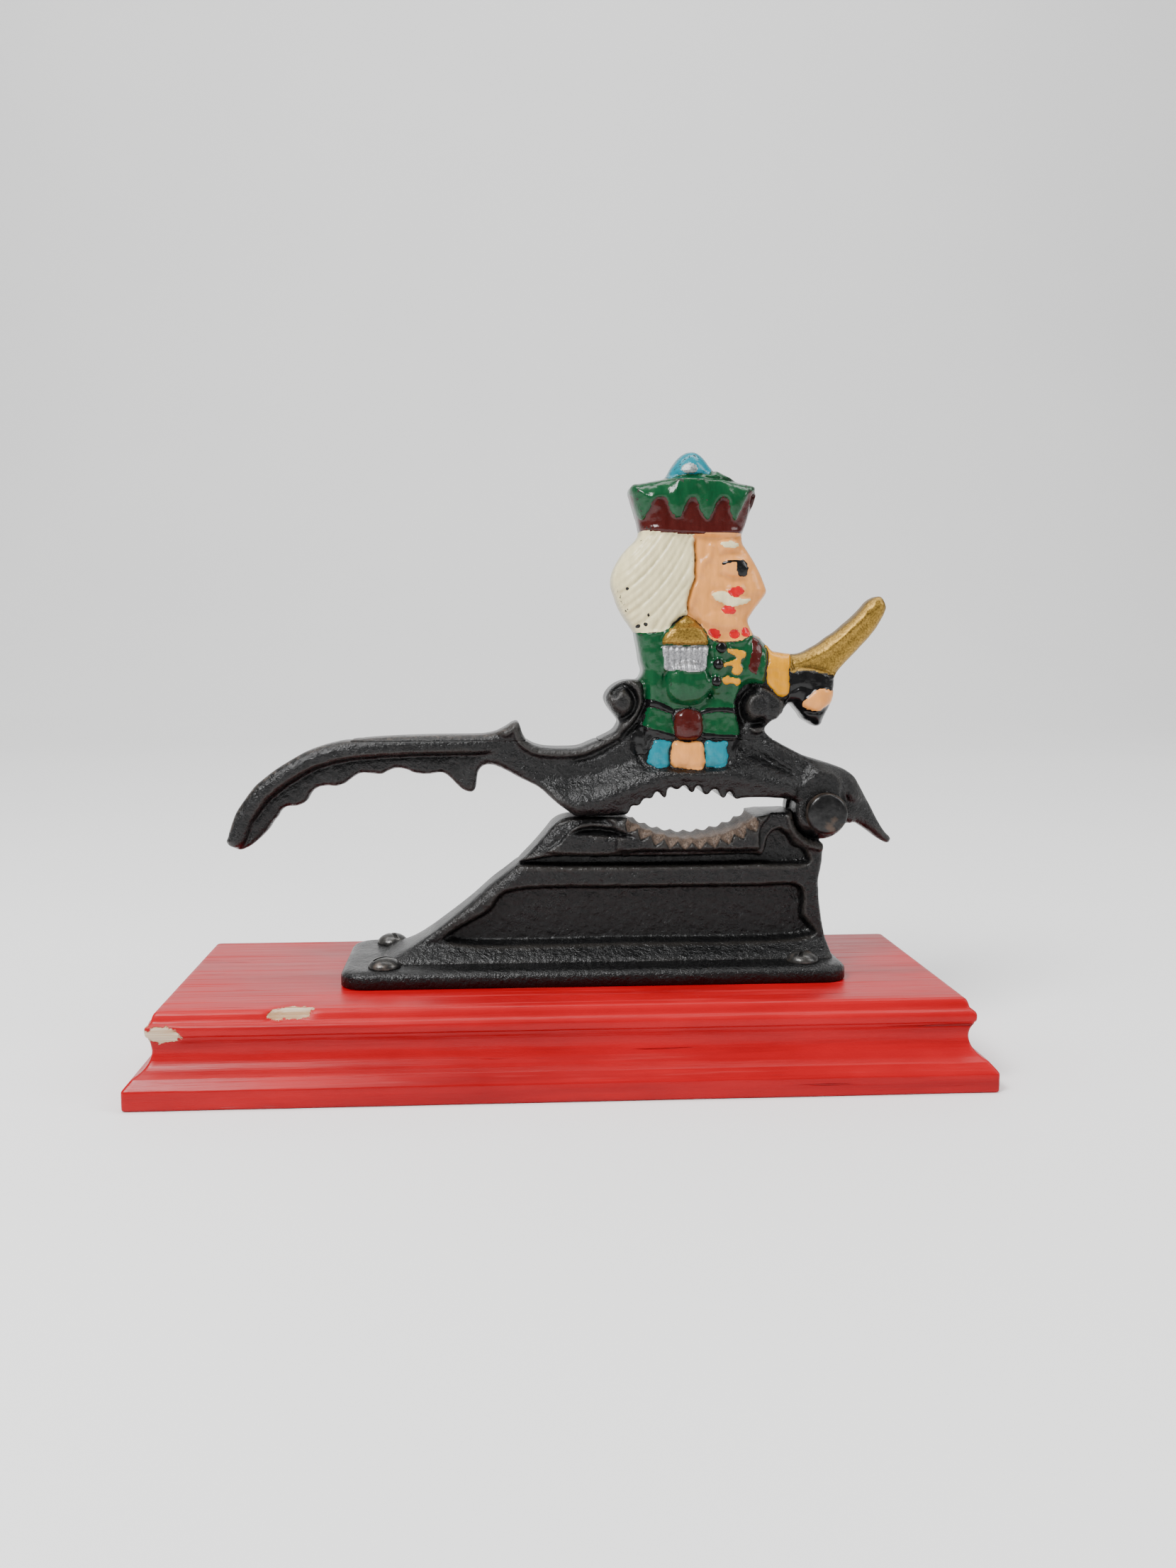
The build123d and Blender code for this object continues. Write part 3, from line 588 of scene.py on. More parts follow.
# face: brow, ear, eye, nose and cheek, moustache, mouth and chin
lever.dome(40.6, 121.8, 3.2, 0.6, depth=6.2, tall=0.5)
lever.line([(36, 121.5), (35.4, 118.8), (33.6, 117.3), (33.2, 115)], 0.7, 0.6, depth=6.2)
lever.dome(42.2, 116.6, 3.4, 0.7, depth=6.2, tall=0.7)
lever.line([(38.6, 119.3), (41, 119.9), (44, 119.3)], 0.6, -0.4, depth=6.2)
lever.line([(38.8, 114.6), (41.5, 113.6), (44.6, 113.6)], 0.6, -0.4, depth=6.2)
lever.dome(42, 110.9, 2.6, 0.7, depth=6.2, tall=0.8)
MOUSTACHE = [(36, 110), (37, 110.9), (38.8, 111.2), (40.2, 110.7), (41.5, 109.7), (43.5, 109.5),
    (45.8, 109.1), (45, 108.1), (43, 107.4), (41.5, 107), (40, 107.2), (38.5, 107.9), (37, 108.7)]
lever.swell(MOUSTACHE, 1.0, 1.2, depth=6.2)
lever.dome(40.6, 106.3, 2.0, 0.6, depth=6.2, tall=0.6)
lever.dome(38, 103.4, 4.6, 0.6, depth=6.2, tall=0.6)
lever.line([(31.5, 106), (34, 103.3), (37.5, 101.6), (43, 101.4)], 0.8, -0.5, depth=6.2)

# hat: the lobed crown hangs over the band
LOBES = [(17, 134.8), (17.6, 132.5), (18.3, 130), (19, 128.2), (19.8, 127.8), (20.8, 129), (21.8, 131),
    (22.4, 132.4), (24, 132.8), (25, 132.5), (25.6, 131), (26.4, 129.3), (27.3, 128.3), (28.2, 128.1),
    (28.8, 128.4), (29.5, 130), (30.4, 132), (31.4, 132.7), (32.4, 132), (33.2, 130), (34.2, 128.4),
    (35.2, 127.6), (36, 128.6), (37, 130.8), (37.8, 132.3), (38.7, 132.8), (39.7, 132.4), (40.2, 131),
    (40.6, 129), (41.2, 127.9), (41.9, 127.7), (42.8, 129), (44, 131.5), (44.8, 133.2), (45.4, 134.2),
    (48, 135.5), (48, 137), (43, 136.5), (37, 139), (35.8, 139.1), (33, 138.3), (30, 138.2), (28, 138),
    (25.7, 138), (24, 138), (14, 138), (14, 136)]
lever.swell(LOBES, 0.8, 1.0, depth=7.6)
for x in (22.5, 27.5, 34.5, 40.5):
    lever.line([(x * 0.8 + 6, 137), (x, 134), (x + 0.5, 131)], 1.0, 0.35, depth=8)
lever.line([(18, 126), (24, 125.6), (31, 125.1), (43.2, 125.2)], 0.7, 0.4, depth=8)

# glove and cuff
CUFF = [(50.2, 96.4), (50, 94), (49.5, 92), (49.8, 89.5), (50.3, 88.3), (51.5, 86.8), (52.3, 86),
    (53.5, 85.6), (55, 86.3), (55.3, 87.5), (55.3, 90), (55.1, 91.8), (55.8, 94), (55.9, 95.9), (56, 98.5),
    (50, 98.5)]
lever.swell(CUFF, 0.7, 1.2, depth=5.5)
lever.line([(56, 87.2), (58, 88.2), (60, 87.6)], 0.45, -0.5, depth=5.5)
lever.line([(57.4, 84.4), (58.8, 82.6), (61, 82), (63.6, 82.2)], 0.45, -0.6, depth=5.5)
HAND = [(58.3, 84), (59, 85.2), (60.3, 86.3), (61.7, 87.6), (63, 87.8), (65.2, 87.5), (67, 87), (66.5, 84.5),
    (64, 83), (62.5, 82.2), (61, 82.1), (59.5, 82.8)]
lever.swell(HAND, 0.7, 1.3, depth=5.5)
lever.line([(57, 93.5), (63, 96), (68, 100), (73.5, 105.5)], 1.0, 0.5, depth=3.6)

lever.H = np.maximum(blur(lever.H, 1), 1.2)
lever.H += 0.05 * wobble(X, Z, 2.2) + 0.035 * wobble(Z + 3, X, 0.8)


def wear_rust_and_crease_shade(relief, passes, gain_proud, gain_crease_shade, rust):
    """Where the face rises above its blurred self (wear), sinks below it (painted shade in the creases), and
    has rusted.
    """
    face = relief.half_width(relief.board.X, relief.board.Z)
    above_mean = face - blur(face, passes)
    return {"proud": np.clip(above_mean * gain_proud, 0, 1), "crease_shade": np.clip(-above_mean * gain_crease_shade, 0, 1),
            "rust": np.clip(rust, 0, 1)}


handle_crown = ramp(1.5, 0.5, from_top) * ramp(-8, -12, X)
tooth_zone = ramp(66.3, 65.2, Z) * ramp(15.5, 17, X) * ramp(44, 42.5, X)
rivet_ring = np.exp(-((np.hypot(X - PIVOT[0], Z - PIVOT[2]) - 5.6) / 1.0) ** 2)
marks = wear_rust_and_crease_shade(lever, 14, 1.6, 1.6, 0.55 * handle_crown + 0.3 * tooth_zone + 0.35 * rivet_ring)
# the casting is one relief, parted at the belt's height to keep each mesh small
SPLIT = 75.7
beam, figure = [relief_mesh(name, board, np.maximum(silhouette, beyond), lever.half_width, attributes=marks)
                for name, beyond in (("lever_beam", Z - SPLIT), ("lever_figure", SPLIT - Z))]


# ======== the standing base casting ========
lower = Board(-50, 72, 22.4, 67, BASE_GRID)
BX, BZ = lower.X, lower.Z
TROUGH = (30.7, 78.9)
TIP_RADIUS = 26.0
TOOTH_DEPTH = 0.7
TEETH = 10
STAND = 7.2                         # half-thickness of the standing web
REACH = math.radians(35.6)          # half the trough's arc


def tooth_wave(angle):
    """0 at the tooth tips, 1 in the valleys between."""
    return abs(math.sin(math.pi * (angle + REACH) / (2 * REACH) * TEETH)) ** 0.8


trough = []
for angle in np.linspace(-REACH, REACH, 109):
    radius = TIP_RADIUS + TOOTH_DEPTH * tooth_wave(angle)
    trough.append((TROUGH[0] + radius * math.sin(angle), TROUGH[1] - radius * math.cos(angle)))
base_outline = smooth([(-45.5, 22.6), (-34, 28.2), (-24, 35.5), (-16.5, 42), (-13, 44.6), (-10, 47), (-7, 50),
    (-4, 53.4), (-2, 55.8), (0, 57.1), (2.4, 57.65), (6, 57.7), (10, 57.7), (13.5, 57.7)],
    closed=False).tolist()
base_outline += trough + [(48.6, 58.1), (50, 58.4), (55, 58.5), (62.5, 58.5), (62.6, 51), (62.4, 46.4),
    (61.6, 42), (61.9, 37), (62.8, 31), (64.8, 22.6)]
stand = lower.inside(base_outline, sharp=True)
stand = np.minimum(stand, lower.circle(PIVOT[0], PIVOT[2], TONGUE))
from_pivot = np.hypot(BX - PIVOT[0], BZ - PIVOT[2])
stand_edge = blend(1.1, 2.8, ramp(15.5, 12.5, BX) * ramp(30, 40, BZ))
base = Relief(lower, stand, np.full(BX.shape, STAND), stand_edge)
# the groove under the jaw, the arch beside the hinge, the pocket of the web, the shelf on the slope, the
# toothed block and the crescent in the shelf
base.level([(-7.4, 44.9), (-3.6, 47.8), (10, 47.9), (30, 47.9), (49, 47.9), (50.5, 44.9)], 3.8, 0.9, depth=6)
base.level([(49, 44.9), (49.2, 49), (50.3, 52.6), (53, 54.2), (55.6, 52.8), (57.3, 50.4), (60, 48.6),
    (60.3, 44.9)], 3.8, 1.1, depth=6)
base.level([(-27, 27.8), (-18, 36), (-11, 41.2), (16, 41.6), (45, 41.6), (57, 41.2), (58.4, 34), (58.2, 27.8),
    (16, 27.2)], 4.0, 1.4)
base.level([(-2.6, 47.9), (-0.2, 51.2), (1.8, 53.8), (4.5, 55.3), (8, 55.6), (13, 55.4), (18, 55), (18, 48)],
    8.3, 0.8, depth=8)
base.level([(12.5, 59), (13, 53), (12.8, 48.0), (15, 47.8), (31, 47.8), (47.8, 47.8), (49.2, 48.2),
    (49.3, 53), (49.2, 59)], 9.5, 1.4, depth=9)
base.level([(2.2, 52.6), (4.3, 54.6), (7.5, 55.3), (11.5, 54.9), (15.5, 53.6), (18.4, 51.9), (15, 51.6),
    (8, 51.9)], 5.6, 1.7, depth=8)
angle_here = np.arctan2(BX - TROUGH[0], TROUGH[1] - BZ)
scallop_phase = ((angle_here + REACH) / (2 * REACH) * TEETH) % 1.0
from_trough = np.hypot(BX - TROUGH[0], BZ - TROUGH[1])
tooth_line = TIP_RADIUS + 1.3 + 2.1 * (1 - abs(2 * scallop_phase - 1)) ** 0.85
bite = np.clip((tooth_line - from_trough) / 0.5, 0, 1) * (abs(angle_here) < REACH)
base.H = base.H - bite * (0.9 + 0.75 * np.clip(tooth_line - from_trough, 0, 4))
base.line([(-13.5, 43.4), (-10, 46.2), (-6.8, 49.2), (-3.6, 52.9), (-1.4, 55.0), (1.5, 56.0), (6, 56.4),
    (13, 56.4)], 0.6, 0.5, depth=7)
base.H = base.H + 0.9 * np.exp(-((from_pivot - 8.6) / 0.7) ** 2) * ramp(59, 57.5, BZ)
base.H = base.H + 4.0 * ramp(28.5, 23.5, BZ)
base.R = blend(base.R, 0.5, bite)
base.H = base.H + 0.06 * wobble(BX, BZ, 2.0) + 0.05 * wobble(BZ, BX, 0.9)
base.H = np.where(from_pivot < EAR + TURN_CLEAR, TONGUE_HALF - 0.05, base.H)
base.R = np.where(from_pivot < EAR + TURN_CLEAR, 0.4, base.R)

base_marks = wear_rust_and_crease_shade(base, 12, 1.5, 1.2, 1.1 * bite + 0.5 * np.exp(-((from_pivot - 7.8) / 0.8) ** 2))
standing = relief_mesh("base_standing", lower, stand, base.half_width, attributes=base_marks)

# the foot plate: half length, half width, corner radius and height of each ring
FOOT_X = 7.5
FOOT_THICK = 4.0
foot_bottom = in_mm(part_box("base_casting"))[0][2]
foot_rings = [(58.6, 18.6, 5.6, 0), (59.0, 19.0, 6.0, 0.4), (59.0, 19.0, 6.0, 2.4), (58.8, 18.8, 5.8, 3.0),
    (58.3, 18.3, 5.4, 3.5), (57.5, 17.5, 4.8, 3.85), (56.4, 16.4, 4.0, FOOT_THICK)]
foot = loft("base_foot", [level_ring(a, b, c, foot_bottom + z, (FOOT_X, 0)) for a, b, c, z in foot_rings])

# ======== the wooden plinth ========
half_long, half_wide, _ = in_mm(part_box("plinth"))[1]
moulding = smooth([(0.5, 0.0), (0.1, 0.25), (0, 0.7), (0, 2.5), (0, 4.0), (0.15, 4.5), (0.8, 5.3), (1.7, 6.3),
    (1.9, 6.5), (3.4, 7.4), (4.6, 8.8), (5.2, 10.2), (5.4, 11.6), (5.1, 13.2), (4.5, 14.4), (4.45, 14.7),
    (4.1, 15.1), (4.0, 15.7), (4.0, 16.4), (4.2, 17.0), (4.8, 17.5), (5.3, 17.9), (5.6, 18.9), (6.0, 19.6),
    (6.7, 19.95), (8.5, 20.0)], closed=False, step=0.45)
# knocks through the paint: place, half length and half height. CHIP_DEEP is their half depth, and WAVER_EDGE
# how far in from the sides the wood is shaped by hand.
CHIP_DEEP = 2.6
WAVER_EDGE = 8
CHIPS = [(-59.5, -33.2, 19.3, 4.6, 1.5), (-63.0, -33.6, 18.8, 2.0, 1.2), (-87.0, -35.4, 15.2, 4.0, 2.0),
    (-90.2, -33.5, 15.4, 1.6, 2.2)]


def carve(verts):
    """The plinth's knocks and its slightly wavering hand-sanded faces."""
    out = verts.copy()
    vx, vy, vz = verts.T
    for x, y, z, long, tall in CHIPS:
        near = ((vx - x) / long) ** 2 + ((vy - y) / CHIP_DEEP) ** 2 + ((vz - z) / tall) ** 2
        depth = 0.55 * np.exp(-near ** 2)
        out[:, 1] += depth * -np.sign(vy) * 0.9
        out[:, 2] -= depth * 0.5
        out[:, 0] += depth * 0.5 * (abs(vx) > half_long - WAVER_EDGE) * -np.sign(vx)
    waver = 0.05 * np.sin(vx / 17 + vz / 3) + 0.03 * np.sin(vx / 5.3 + 2 + vz)
    out[:, 1] -= np.sign(vy) * abs(waver) * (abs(vy) > half_wide - WAVER_EDGE)
    return out


plinth = loft("plinth_board", [level_ring(half_long - inset, half_wide - inset, 0.7, z, counts=(230, 90, 4))
                               for inset, z in moulding], carve)


# ======== rivet, washer and screws ========
HINGE = (PIVOT[0], 0, PIVOT[2])
ACROSS = (0, 1, 0)
UNDER_HEAD = -8.5
SHANK = 3.0
(_, head_front, _), (_, tail_back, _) = in_mm(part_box("pivot_rivet"))
(_, washer_front, _), (_, washer_back, _) = in_mm(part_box("rivet_washer"))
head = [(0, 0.5), (0.05, 2.6), (0.2, 4.0), (0.4, 4.5), (0.8, 4.8), (1.4, 4.88), (2.3, 4.9)]
rivet_profile = [(head_front + along, radius) for along, radius in head]
rivet_profile += [(UNDER_HEAD - 0.3, 4.85), (UNDER_HEAD - 0.05, 4.6), (UNDER_HEAD, 4.3), (UNDER_HEAD, SHANK),
    (washer_back, SHANK), (washer_back, 4.0), (washer_back + 0.15, 4.3), (washer_back + 0.8, 4.4),
    (tail_back - 0.7, 4.15), (tail_back - 0.25, 3.4), (tail_back - 0.03, 2.0), (tail_back, 0.5)]
rivet = turned("rivet", rivet_profile, HINGE, ACROSS, 96, dent=0.006)
washer = turned("washer", [(washer_front, 3.3), (washer_front, 5.7), (washer_front + 0.2, 5.95),
                           (washer_front + 0.6, 6.0), (washer_back - 0.2, 5.95), (washer_back, 5.7),
                           (washer_back, 3.3)], HINGE, ACROSS, 80)

SCREW_TIP = 18.0
seat = foot_bottom + FOOT_THICK
screw_top = in_mm(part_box("foot_screws"))[1][2]
screw_profile = [(SCREW_TIP, 1.5), (seat - 0.2, 1.6), (seat - 0.2, 3.6), (seat + 0.15, 3.8),
    (seat + 0.8, 3.6), (seat + 1.5, 2.95), (seat + 2.0, 2.1), (screw_top - 0.12, 1.2), (screw_top, 0.4)]
screws = []
for k, (x, y) in enumerate([(-41.5, -13), (56.5, -13), (-41.5, 13), (56.5, 13)]):
    screw = turned(f"screw_{k + 1}", screw_profile, (x, y, 0), (0, 0, 1), 48)
    screws.append((screw, 20 + 47 * k, (x, y)))


# ======== materials ========
def srgb(*rgb):
    """A colour given on a 0 to 255 scale, as the shader's linear numbers."""
    linear = [v / 255 / 12.92 if v < 11 else ((v / 255 + 0.055) / 1.055) ** 2.4 for v in rgb]
    return (*linear, 1.0)


class Shade:
    """A Principled material, built by naming nodes and what goes into them."""

    def __init__(self, name, roughness, **numbers):
        self.material = bpy.data.materials.new(name)
        self.material.use_nodes = True
        self.tree = self.material.node_tree
        self.surface = self.tree.nodes["Principled BSDF"]
        self.set(self.surface, {"Roughness": roughness})
        self.set(self.surface, {k.replace("_", " "): v for k, v in numbers.items()})
        self.where = self.tree.nodes.new("ShaderNodeTexCoord").outputs["Object"]

    def set(self, node, inputs):
        for key, value in inputs.items():
            if hasattr(value, "is_output"):
                self.tree.links.new(value, node.inputs[key])
            else:
                node.inputs[key].default_value = value

    def node(self, kind, **inputs):
        made = self.tree.nodes.new("ShaderNode" + kind)
        self.set(made, {k.replace("_", " "): v for k, v in inputs.items()})
        return made

    def noise(self, scale, detail=4.0, roughness=0.55, stretch=None):
        place = self.where
        if stretch is not None:
            place = self.node("Mapping", Vector=self.where, Scale=stretch).outputs[0]
        made = self.node("TexNoise", Vector=place, Scale=scale, Detail=detail, Roughness=roughness)
        return made.outputs["Fac"]

    def math(self, kind, a, b=0.0, clamp=False):
        made = self.tree.nodes.new("ShaderNodeMath")
        made.operation = kind
        made.use_clamp = clamp
        self.set(made, {0: a, 1: b})
        return made.outputs[0]

    def times(self, a, b):
        return self.math("MULTIPLY", a, b)

    def plus(self, a, b, clamp=False):
        return self.math("ADD", a, b, clamp)

    def range(self, value, low, high, to_low=0.0, to_high=1.0):
        made = self.node("MapRange", Value=value)
        self.set(made, {1: low, 2: high, 3: to_low, 4: to_high})
        return made.outputs[0]

    def mix(self, share, a, b):
        made = self.tree.nodes.new("ShaderNodeMix")
        made.data_type = "RGBA"
        self.set(made, {0: share, 6: a, 7: b})
        return made.outputs[2]

    def mark(self, name):
        made = self.tree.nodes.new("ShaderNodeAttribute")
        made.attribute_name = name
        return made.outputs["Fac"]

    def bump(self, height, distance, strength=1.0, over=None):
        inputs = {"Height": height, "Distance": distance, "Strength": strength}
        if over is not None:
            inputs["Normal"] = over
        return self.node("Bump", **inputs).outputs[0]

    def finish(self, color, roughness=None, normal=None, metallic=None):
        self.set(self.surface, {"Base Color": color})
        for key, value in (("Roughness", roughness), ("Normal", normal), ("Metallic", metallic)):
            if value is not None:
                self.set(self.surface, {key: value})
        return self.material


def iron_material(name, relief=True):
    m = Shade(name, 0.3, Specular_IOR_Level=0.36)
    pebble = m.noise(980, 3, 0.6)
    grain = m.noise(3200, 2)
    patch = m.noise(75, 5, 0.6)
    color = m.mix(m.range(pebble, 0.35, 0.7), srgb(5, 5, 6), srgb(18, 18, 18))
    rough = m.range(patch, 0.3, 0.7, 0.2, 0.36)
    if relief:
        worn = m.range(m.plus(m.mark("proud"), m.times(patch, 0.9)), 0.75, 1.25)
        color = m.mix(m.times(worn, 0.3), color, srgb(62, 58, 54))
        # painted shade: the iron goes near black in the creases
        color = m.mix(m.times(m.mark("crease_shade"), 0.6), color, srgb(5, 5, 5))
        rusty = m.range(m.plus(m.mark("rust"), m.times(pebble, 0.7)), 0.85, 1.45)
        brown = m.mix(m.range(grain, 0.35, 0.7), srgb(70, 56, 47), srgb(128, 109, 94))
        color = m.mix(rusty, color, brown)
        rough = m.plus(rough, m.times(rusty, 0.28), True)
    normal = m.bump(m.noise(260, 2, 0.5), 0.0005, 0.6)
    normal = m.bump(pebble, 0.0004, 0.9, normal)
    normal = m.bump(grain, 0.00014, 0.8, normal)
    return m.finish(color, rough, normal)


def enamel_material(name, color, chipped=0.3, roughness=0.19, shown=(40, 36, 32)):
    m = Shade(name, roughness, Specular_IOR_Level=0.32)
    pebble = m.noise(480, 3, 0.55)
    brush = m.noise(260, 3, 0.5, stretch=(2.6, 1.0, 0.7))
    patch = m.noise(1500, 3, 0.6)
    light = tuple(min(1.0, c * 1.25 + 0.01) for c in color[:3]) + (1.0,)
    deep = tuple(c * 0.72 for c in color[:3]) + (1.0,)
    tone = m.mix(m.range(brush, 0.3, 0.7), deep, light)
    tone = m.mix(0.55, tone, color)
    # painted shade: each enamel darkens to a third of its colour in the creases
    tone = m.mix(m.times(m.mark("crease_shade"), 0.55), tone, tuple(c * 0.35 for c in color[:3]) + (1.0,))
    chip = m.plus(m.times(m.mark("proud"), chipped), patch)
    chip = m.plus(chip, m.times(m.noise(170, 2), 0.6))
    chip = m.range(chip, 1.13, 1.17)
    tone = m.mix(chip, tone, srgb(*shown))
    rough = m.range(chip, 0, 1, roughness, 0.6)
    height = m.math("SUBTRACT", m.plus(pebble, m.times(brush, 0.6)), chip)
    normal = m.bump(height, 0.00022, 0.6)
    return m.finish(tone, rough, normal)


def metal_paint(name, color, dark, metallic=0.75):
    m = Shade(name, 0.4)
    grain = m.noise(2200, 3, 0.7)
    pebble = m.noise(420, 4, 0.6)
    tone = m.mix(m.range(grain, 0.3, 0.72), dark, color)
    # painted shade: the metallic paint darkens in the creases
    tone = m.mix(m.times(m.mark("crease_shade"), 0.6), tone, tuple(c * 0.4 for c in dark[:3]) + (1.0,))
    normal = m.bump(pebble, 0.00028, 0.6)
    normal = m.bump(grain, 0.00008, 0.7, normal)
    return m.finish(tone, m.range(grain, 0.3, 0.7, 0.3, 0.5), normal, metallic)


def wood_paint():
    m = Shade("plinth_red_paint", 0.3, Specular_IOR_Level=0.22)
    grain = m.noise(170, 5, 0.6, stretch=(0.06, 1.0, 1.6))
    fibre = m.noise(900, 4, 0.6, stretch=(0.03, 1.0, 1.3))
    patch = m.noise(38, 4, 0.6, stretch=(0.5, 1.0, 1.0))
    fine = m.noise(700, 3, 0.6)
    color = m.mix(m.range(patch, 0.3, 0.7), srgb(146, 0, 10), srgb(178, 0, 18))
    color = m.mix(m.times(m.range(grain, 0.5, 0.75), 0.6), color, srgb(112, 0, 5))
    crack = m.range(m.noise(520, 3, 0.5, stretch=(0.05, 1.0, 1.4)), 0.70, 0.76)
    color = m.mix(m.times(crack, 0.55), color, srgb(58, 2, 2))
    # painted highlight: faces turned upward go a lighter red in a fibrous mottle; the same mask roughens them
    # as scuffing
    split = m.node("SeparateXYZ", Vector=m.node("NewGeometry").outputs["Normal"])
    upward = m.range(split.outputs[2], 0.25, 0.9)
    scuff_and_top_sheen = m.times(upward, m.range(fibre, 0.54, 0.75))
    color = m.mix(m.times(scuff_and_top_sheen, 0.4), color, srgb(196, 60, 60))
    bare = 0.0
    for x, y, z, long, tall in CHIPS:
        place = m.node("Mapping", Vector=m.where, Location=(-x / long, -y / CHIP_DEEP, -z / tall),
                       Scale=(1000 / long, 1000 / CHIP_DEEP, 1000 / tall))
        reach = m.tree.nodes.new("ShaderNodeVectorMath")
        reach.operation = "LENGTH"
        m.tree.links.new(place.outputs[0], reach.inputs[0])
        ragged = m.plus(reach.outputs["Value"], m.range(fine, 0.2, 0.8, -0.35, 0.35))
        bare = m.math("MAXIMUM", m.range(ragged, 1.0, 0.88), bare)
    primer = m.mix(m.range(fibre, 0.35, 0.65), srgb(214, 200, 176), srgb(168, 132, 96))
    color = m.mix(bare, color, primer)
    rough = m.plus(m.range(patch, 0.3, 0.7, 0.26, 0.4), m.times(m.math("MAXIMUM", bare, scuff_and_top_sheen), 0.35), True)
    height = m.math("SUBTRACT", grain, m.times(m.math("MAXIMUM", crack, bare), 0.9))
    normal = m.bump(height, 0.00035, 0.7)
    normal = m.bump(fibre, 0.00012, 0.5, normal)
    return m.finish(color, rough, normal)


def steel_material(name, dark, light, ring=None):
    m = Shade(name, 0.35, Specular_IOR_Level=0.6)
    pebble = m.noise(700, 3)
    patch = m.noise(260, 4)
    color = m.mix(m.range(pebble, 0.35, 0.7), dark, light)
    share = m.range(patch, 0.58, 0.72, 0.0, 0.35)
    if ring is not None:
        place = m.node("Mapping", Vector=m.where, Location=(-PIVOT[0] * MM, 0, -PIVOT[2] * MM))
        apart = m.node("SeparateXYZ", Vector=place.outputs[0])
        across = m.times(apart.outputs[0], apart.outputs[0])
        up = m.times(apart.outputs[2], apart.outputs[2])
        away = m.math("SQRT", m.plus(across, up))
        rim = m.range(m.plus(away, m.range(patch, 0.2, 0.8, -0.0005, 0.0005)), ring * MM, (ring + 0.5) * MM)
        share = m.math("MAXIMUM", share, m.times(rim, 0.45))
    color = m.mix(share, color, srgb(110, 88, 70))
    rough = m.range(share, 0, 1, 0.3, 0.6)
    return m.finish(color, rough, m.bump(pebble, 0.0002, 0.5), m.range(share, 0, 1, 0.55, 0.2))


iron = iron_material("black_japanned_iron")
plain_iron = iron_material("black_japanned_foot", relief=False)
paints = {
    "green": enamel_material("green_enamel", srgb(2, 66, 34)),
    "oxblood": enamel_material("oxblood_enamel", srgb(64, 10, 6)),
    "blue": enamel_material("sky_blue_enamel", srgb(10, 120, 136)),
    "cream": enamel_material("cream_enamel", srgb(228, 216, 168), 0.22, 0.3),
    "flesh": enamel_material("flesh_enamel", srgb(226, 150, 76), 0.05, 0.28),
    "red": enamel_material("red_enamel", srgb(196, 6, 22), 0.05),
    "yellow": enamel_material("yellow_enamel", srgb(208, 140, 0), 0.15, 0.27),
    "black": enamel_material("black_enamel", srgb(6, 6, 7), 0.1, 0.2),
    "gold": metal_paint("gold_paint", srgb(182, 146, 66), srgb(96, 70, 22)),
    "silver": metal_paint("silver_paint", srgb(196, 196, 198), srgb(104, 104, 108), 0.6),
    "bare": metal_paint("bare_chip", srgb(170, 178, 176), srgb(84, 92, 94), 0.3),
}


# ======== the enamel coats ========
def patch_of(*outlines, depth=7.0, waver=0.12):
    """The area inside any of the outlines, with a hand-painted edge."""
    return np.minimum.reduce([board.inside(on_face(points, depth)) + waver * wobble(X, Z, 1.2)
                              for points in outlines])


def spots(*places, depth=7.0):
    """Dabs of paint, each given as its place, two half-widths and, where it leans, a turn in degrees."""
    dabs = []
    for x, z, rx, rz, *turn in places:
        (x, z), = on_face([(x, z)], depth)
        lean = math.radians(sum(turn))
        c, s = math.cos(lean), math.sin(lean)
        u, v = (X - x) * c + (Z - z) * s, (Z - z) * c - (X - x) * s
        dabs.append((np.hypot(u / rx, v / rz) - 1) * min(rx, rz) + 0.06 * wobble(X, Z, 0.7))
    return np.minimum.reduce(dabs)


RIM = 0.22      # how wide the rounded rim of a coat is


def enamel(name, zone, paint, lift):
    """A thin closed coat over the iron, whose rim runs down into it."""
    def half_width(x, z):
        share = np.clip(1 + board.sample(zone, x, z) / RIM, 0, 1)
        return lever.half_width(x, z, lift) - (lift + 0.1) * (1 - np.sqrt(1 - share * share))

    coat = relief_mesh(name, board, np.maximum(zone, silhouette - lift), half_width, attributes=marks)
    dress(coat, paints[paint], "lever")


def dress(obj, material, body):
    obj.data.materials.clear()
    obj.data.materials.append(material)
    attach(obj, body)


TUNIC = [(16, 101), (20, 101.2), (23, 101.2), (26, 102.4), (30, 104.5), (34, 102.5), (35.5, 100.8),
    (36.2, 99.6), (37.5, 99.1), (42.5, 99.1), (44.5, 99.8), (46, 100.6), (48.5, 101.5), (51.5, 98),
    (50.2, 96.4), (50, 94), (49.5, 92), (49.8, 89.5), (49, 88.6), (47, 88.9), (44.8, 88.4), (43, 87),
    (42.3, 85.2), (42, 84), (42.3, 83), (36, 83), (34, 82.3), (31, 83.2), (27.5, 82.6), (26, 83.4), (22, 85),
    (20.2, 85.2), (20.2, 87), (19.6, 89), (18.5, 90.3), (16.5, 92), (16, 97)]
SKIRT_LEFT = [(20.9, 83.2), (23.5, 83), (26, 82), (26.8, 81.5), (27.4, 79), (27.3, 76.8), (24, 77.6),
    (20, 78.8), (20.4, 81)]
SKIRT_RIGHT = [(34.2, 81.6), (36, 82), (39, 82.2), (42.3, 81.6), (43, 80), (43.6, 76.8), (41, 76.3),
    (36, 76.9), (34.3, 77.1), (34, 79)]
BELT_LEFT = [(19.8, 85.2), (22.5, 85.1), (25, 84.3), (27.4, 83), (27.3, 81.8), (25, 82.3), (22.5, 83.2),
    (20, 83.6)]
BELT_RIGHT = [(33.8, 81.4), (34, 82.6), (36, 83.3), (40, 83.4), (42.8, 82.9), (42.7, 81.6), (39, 82.1),
    (36.5, 81.9)]
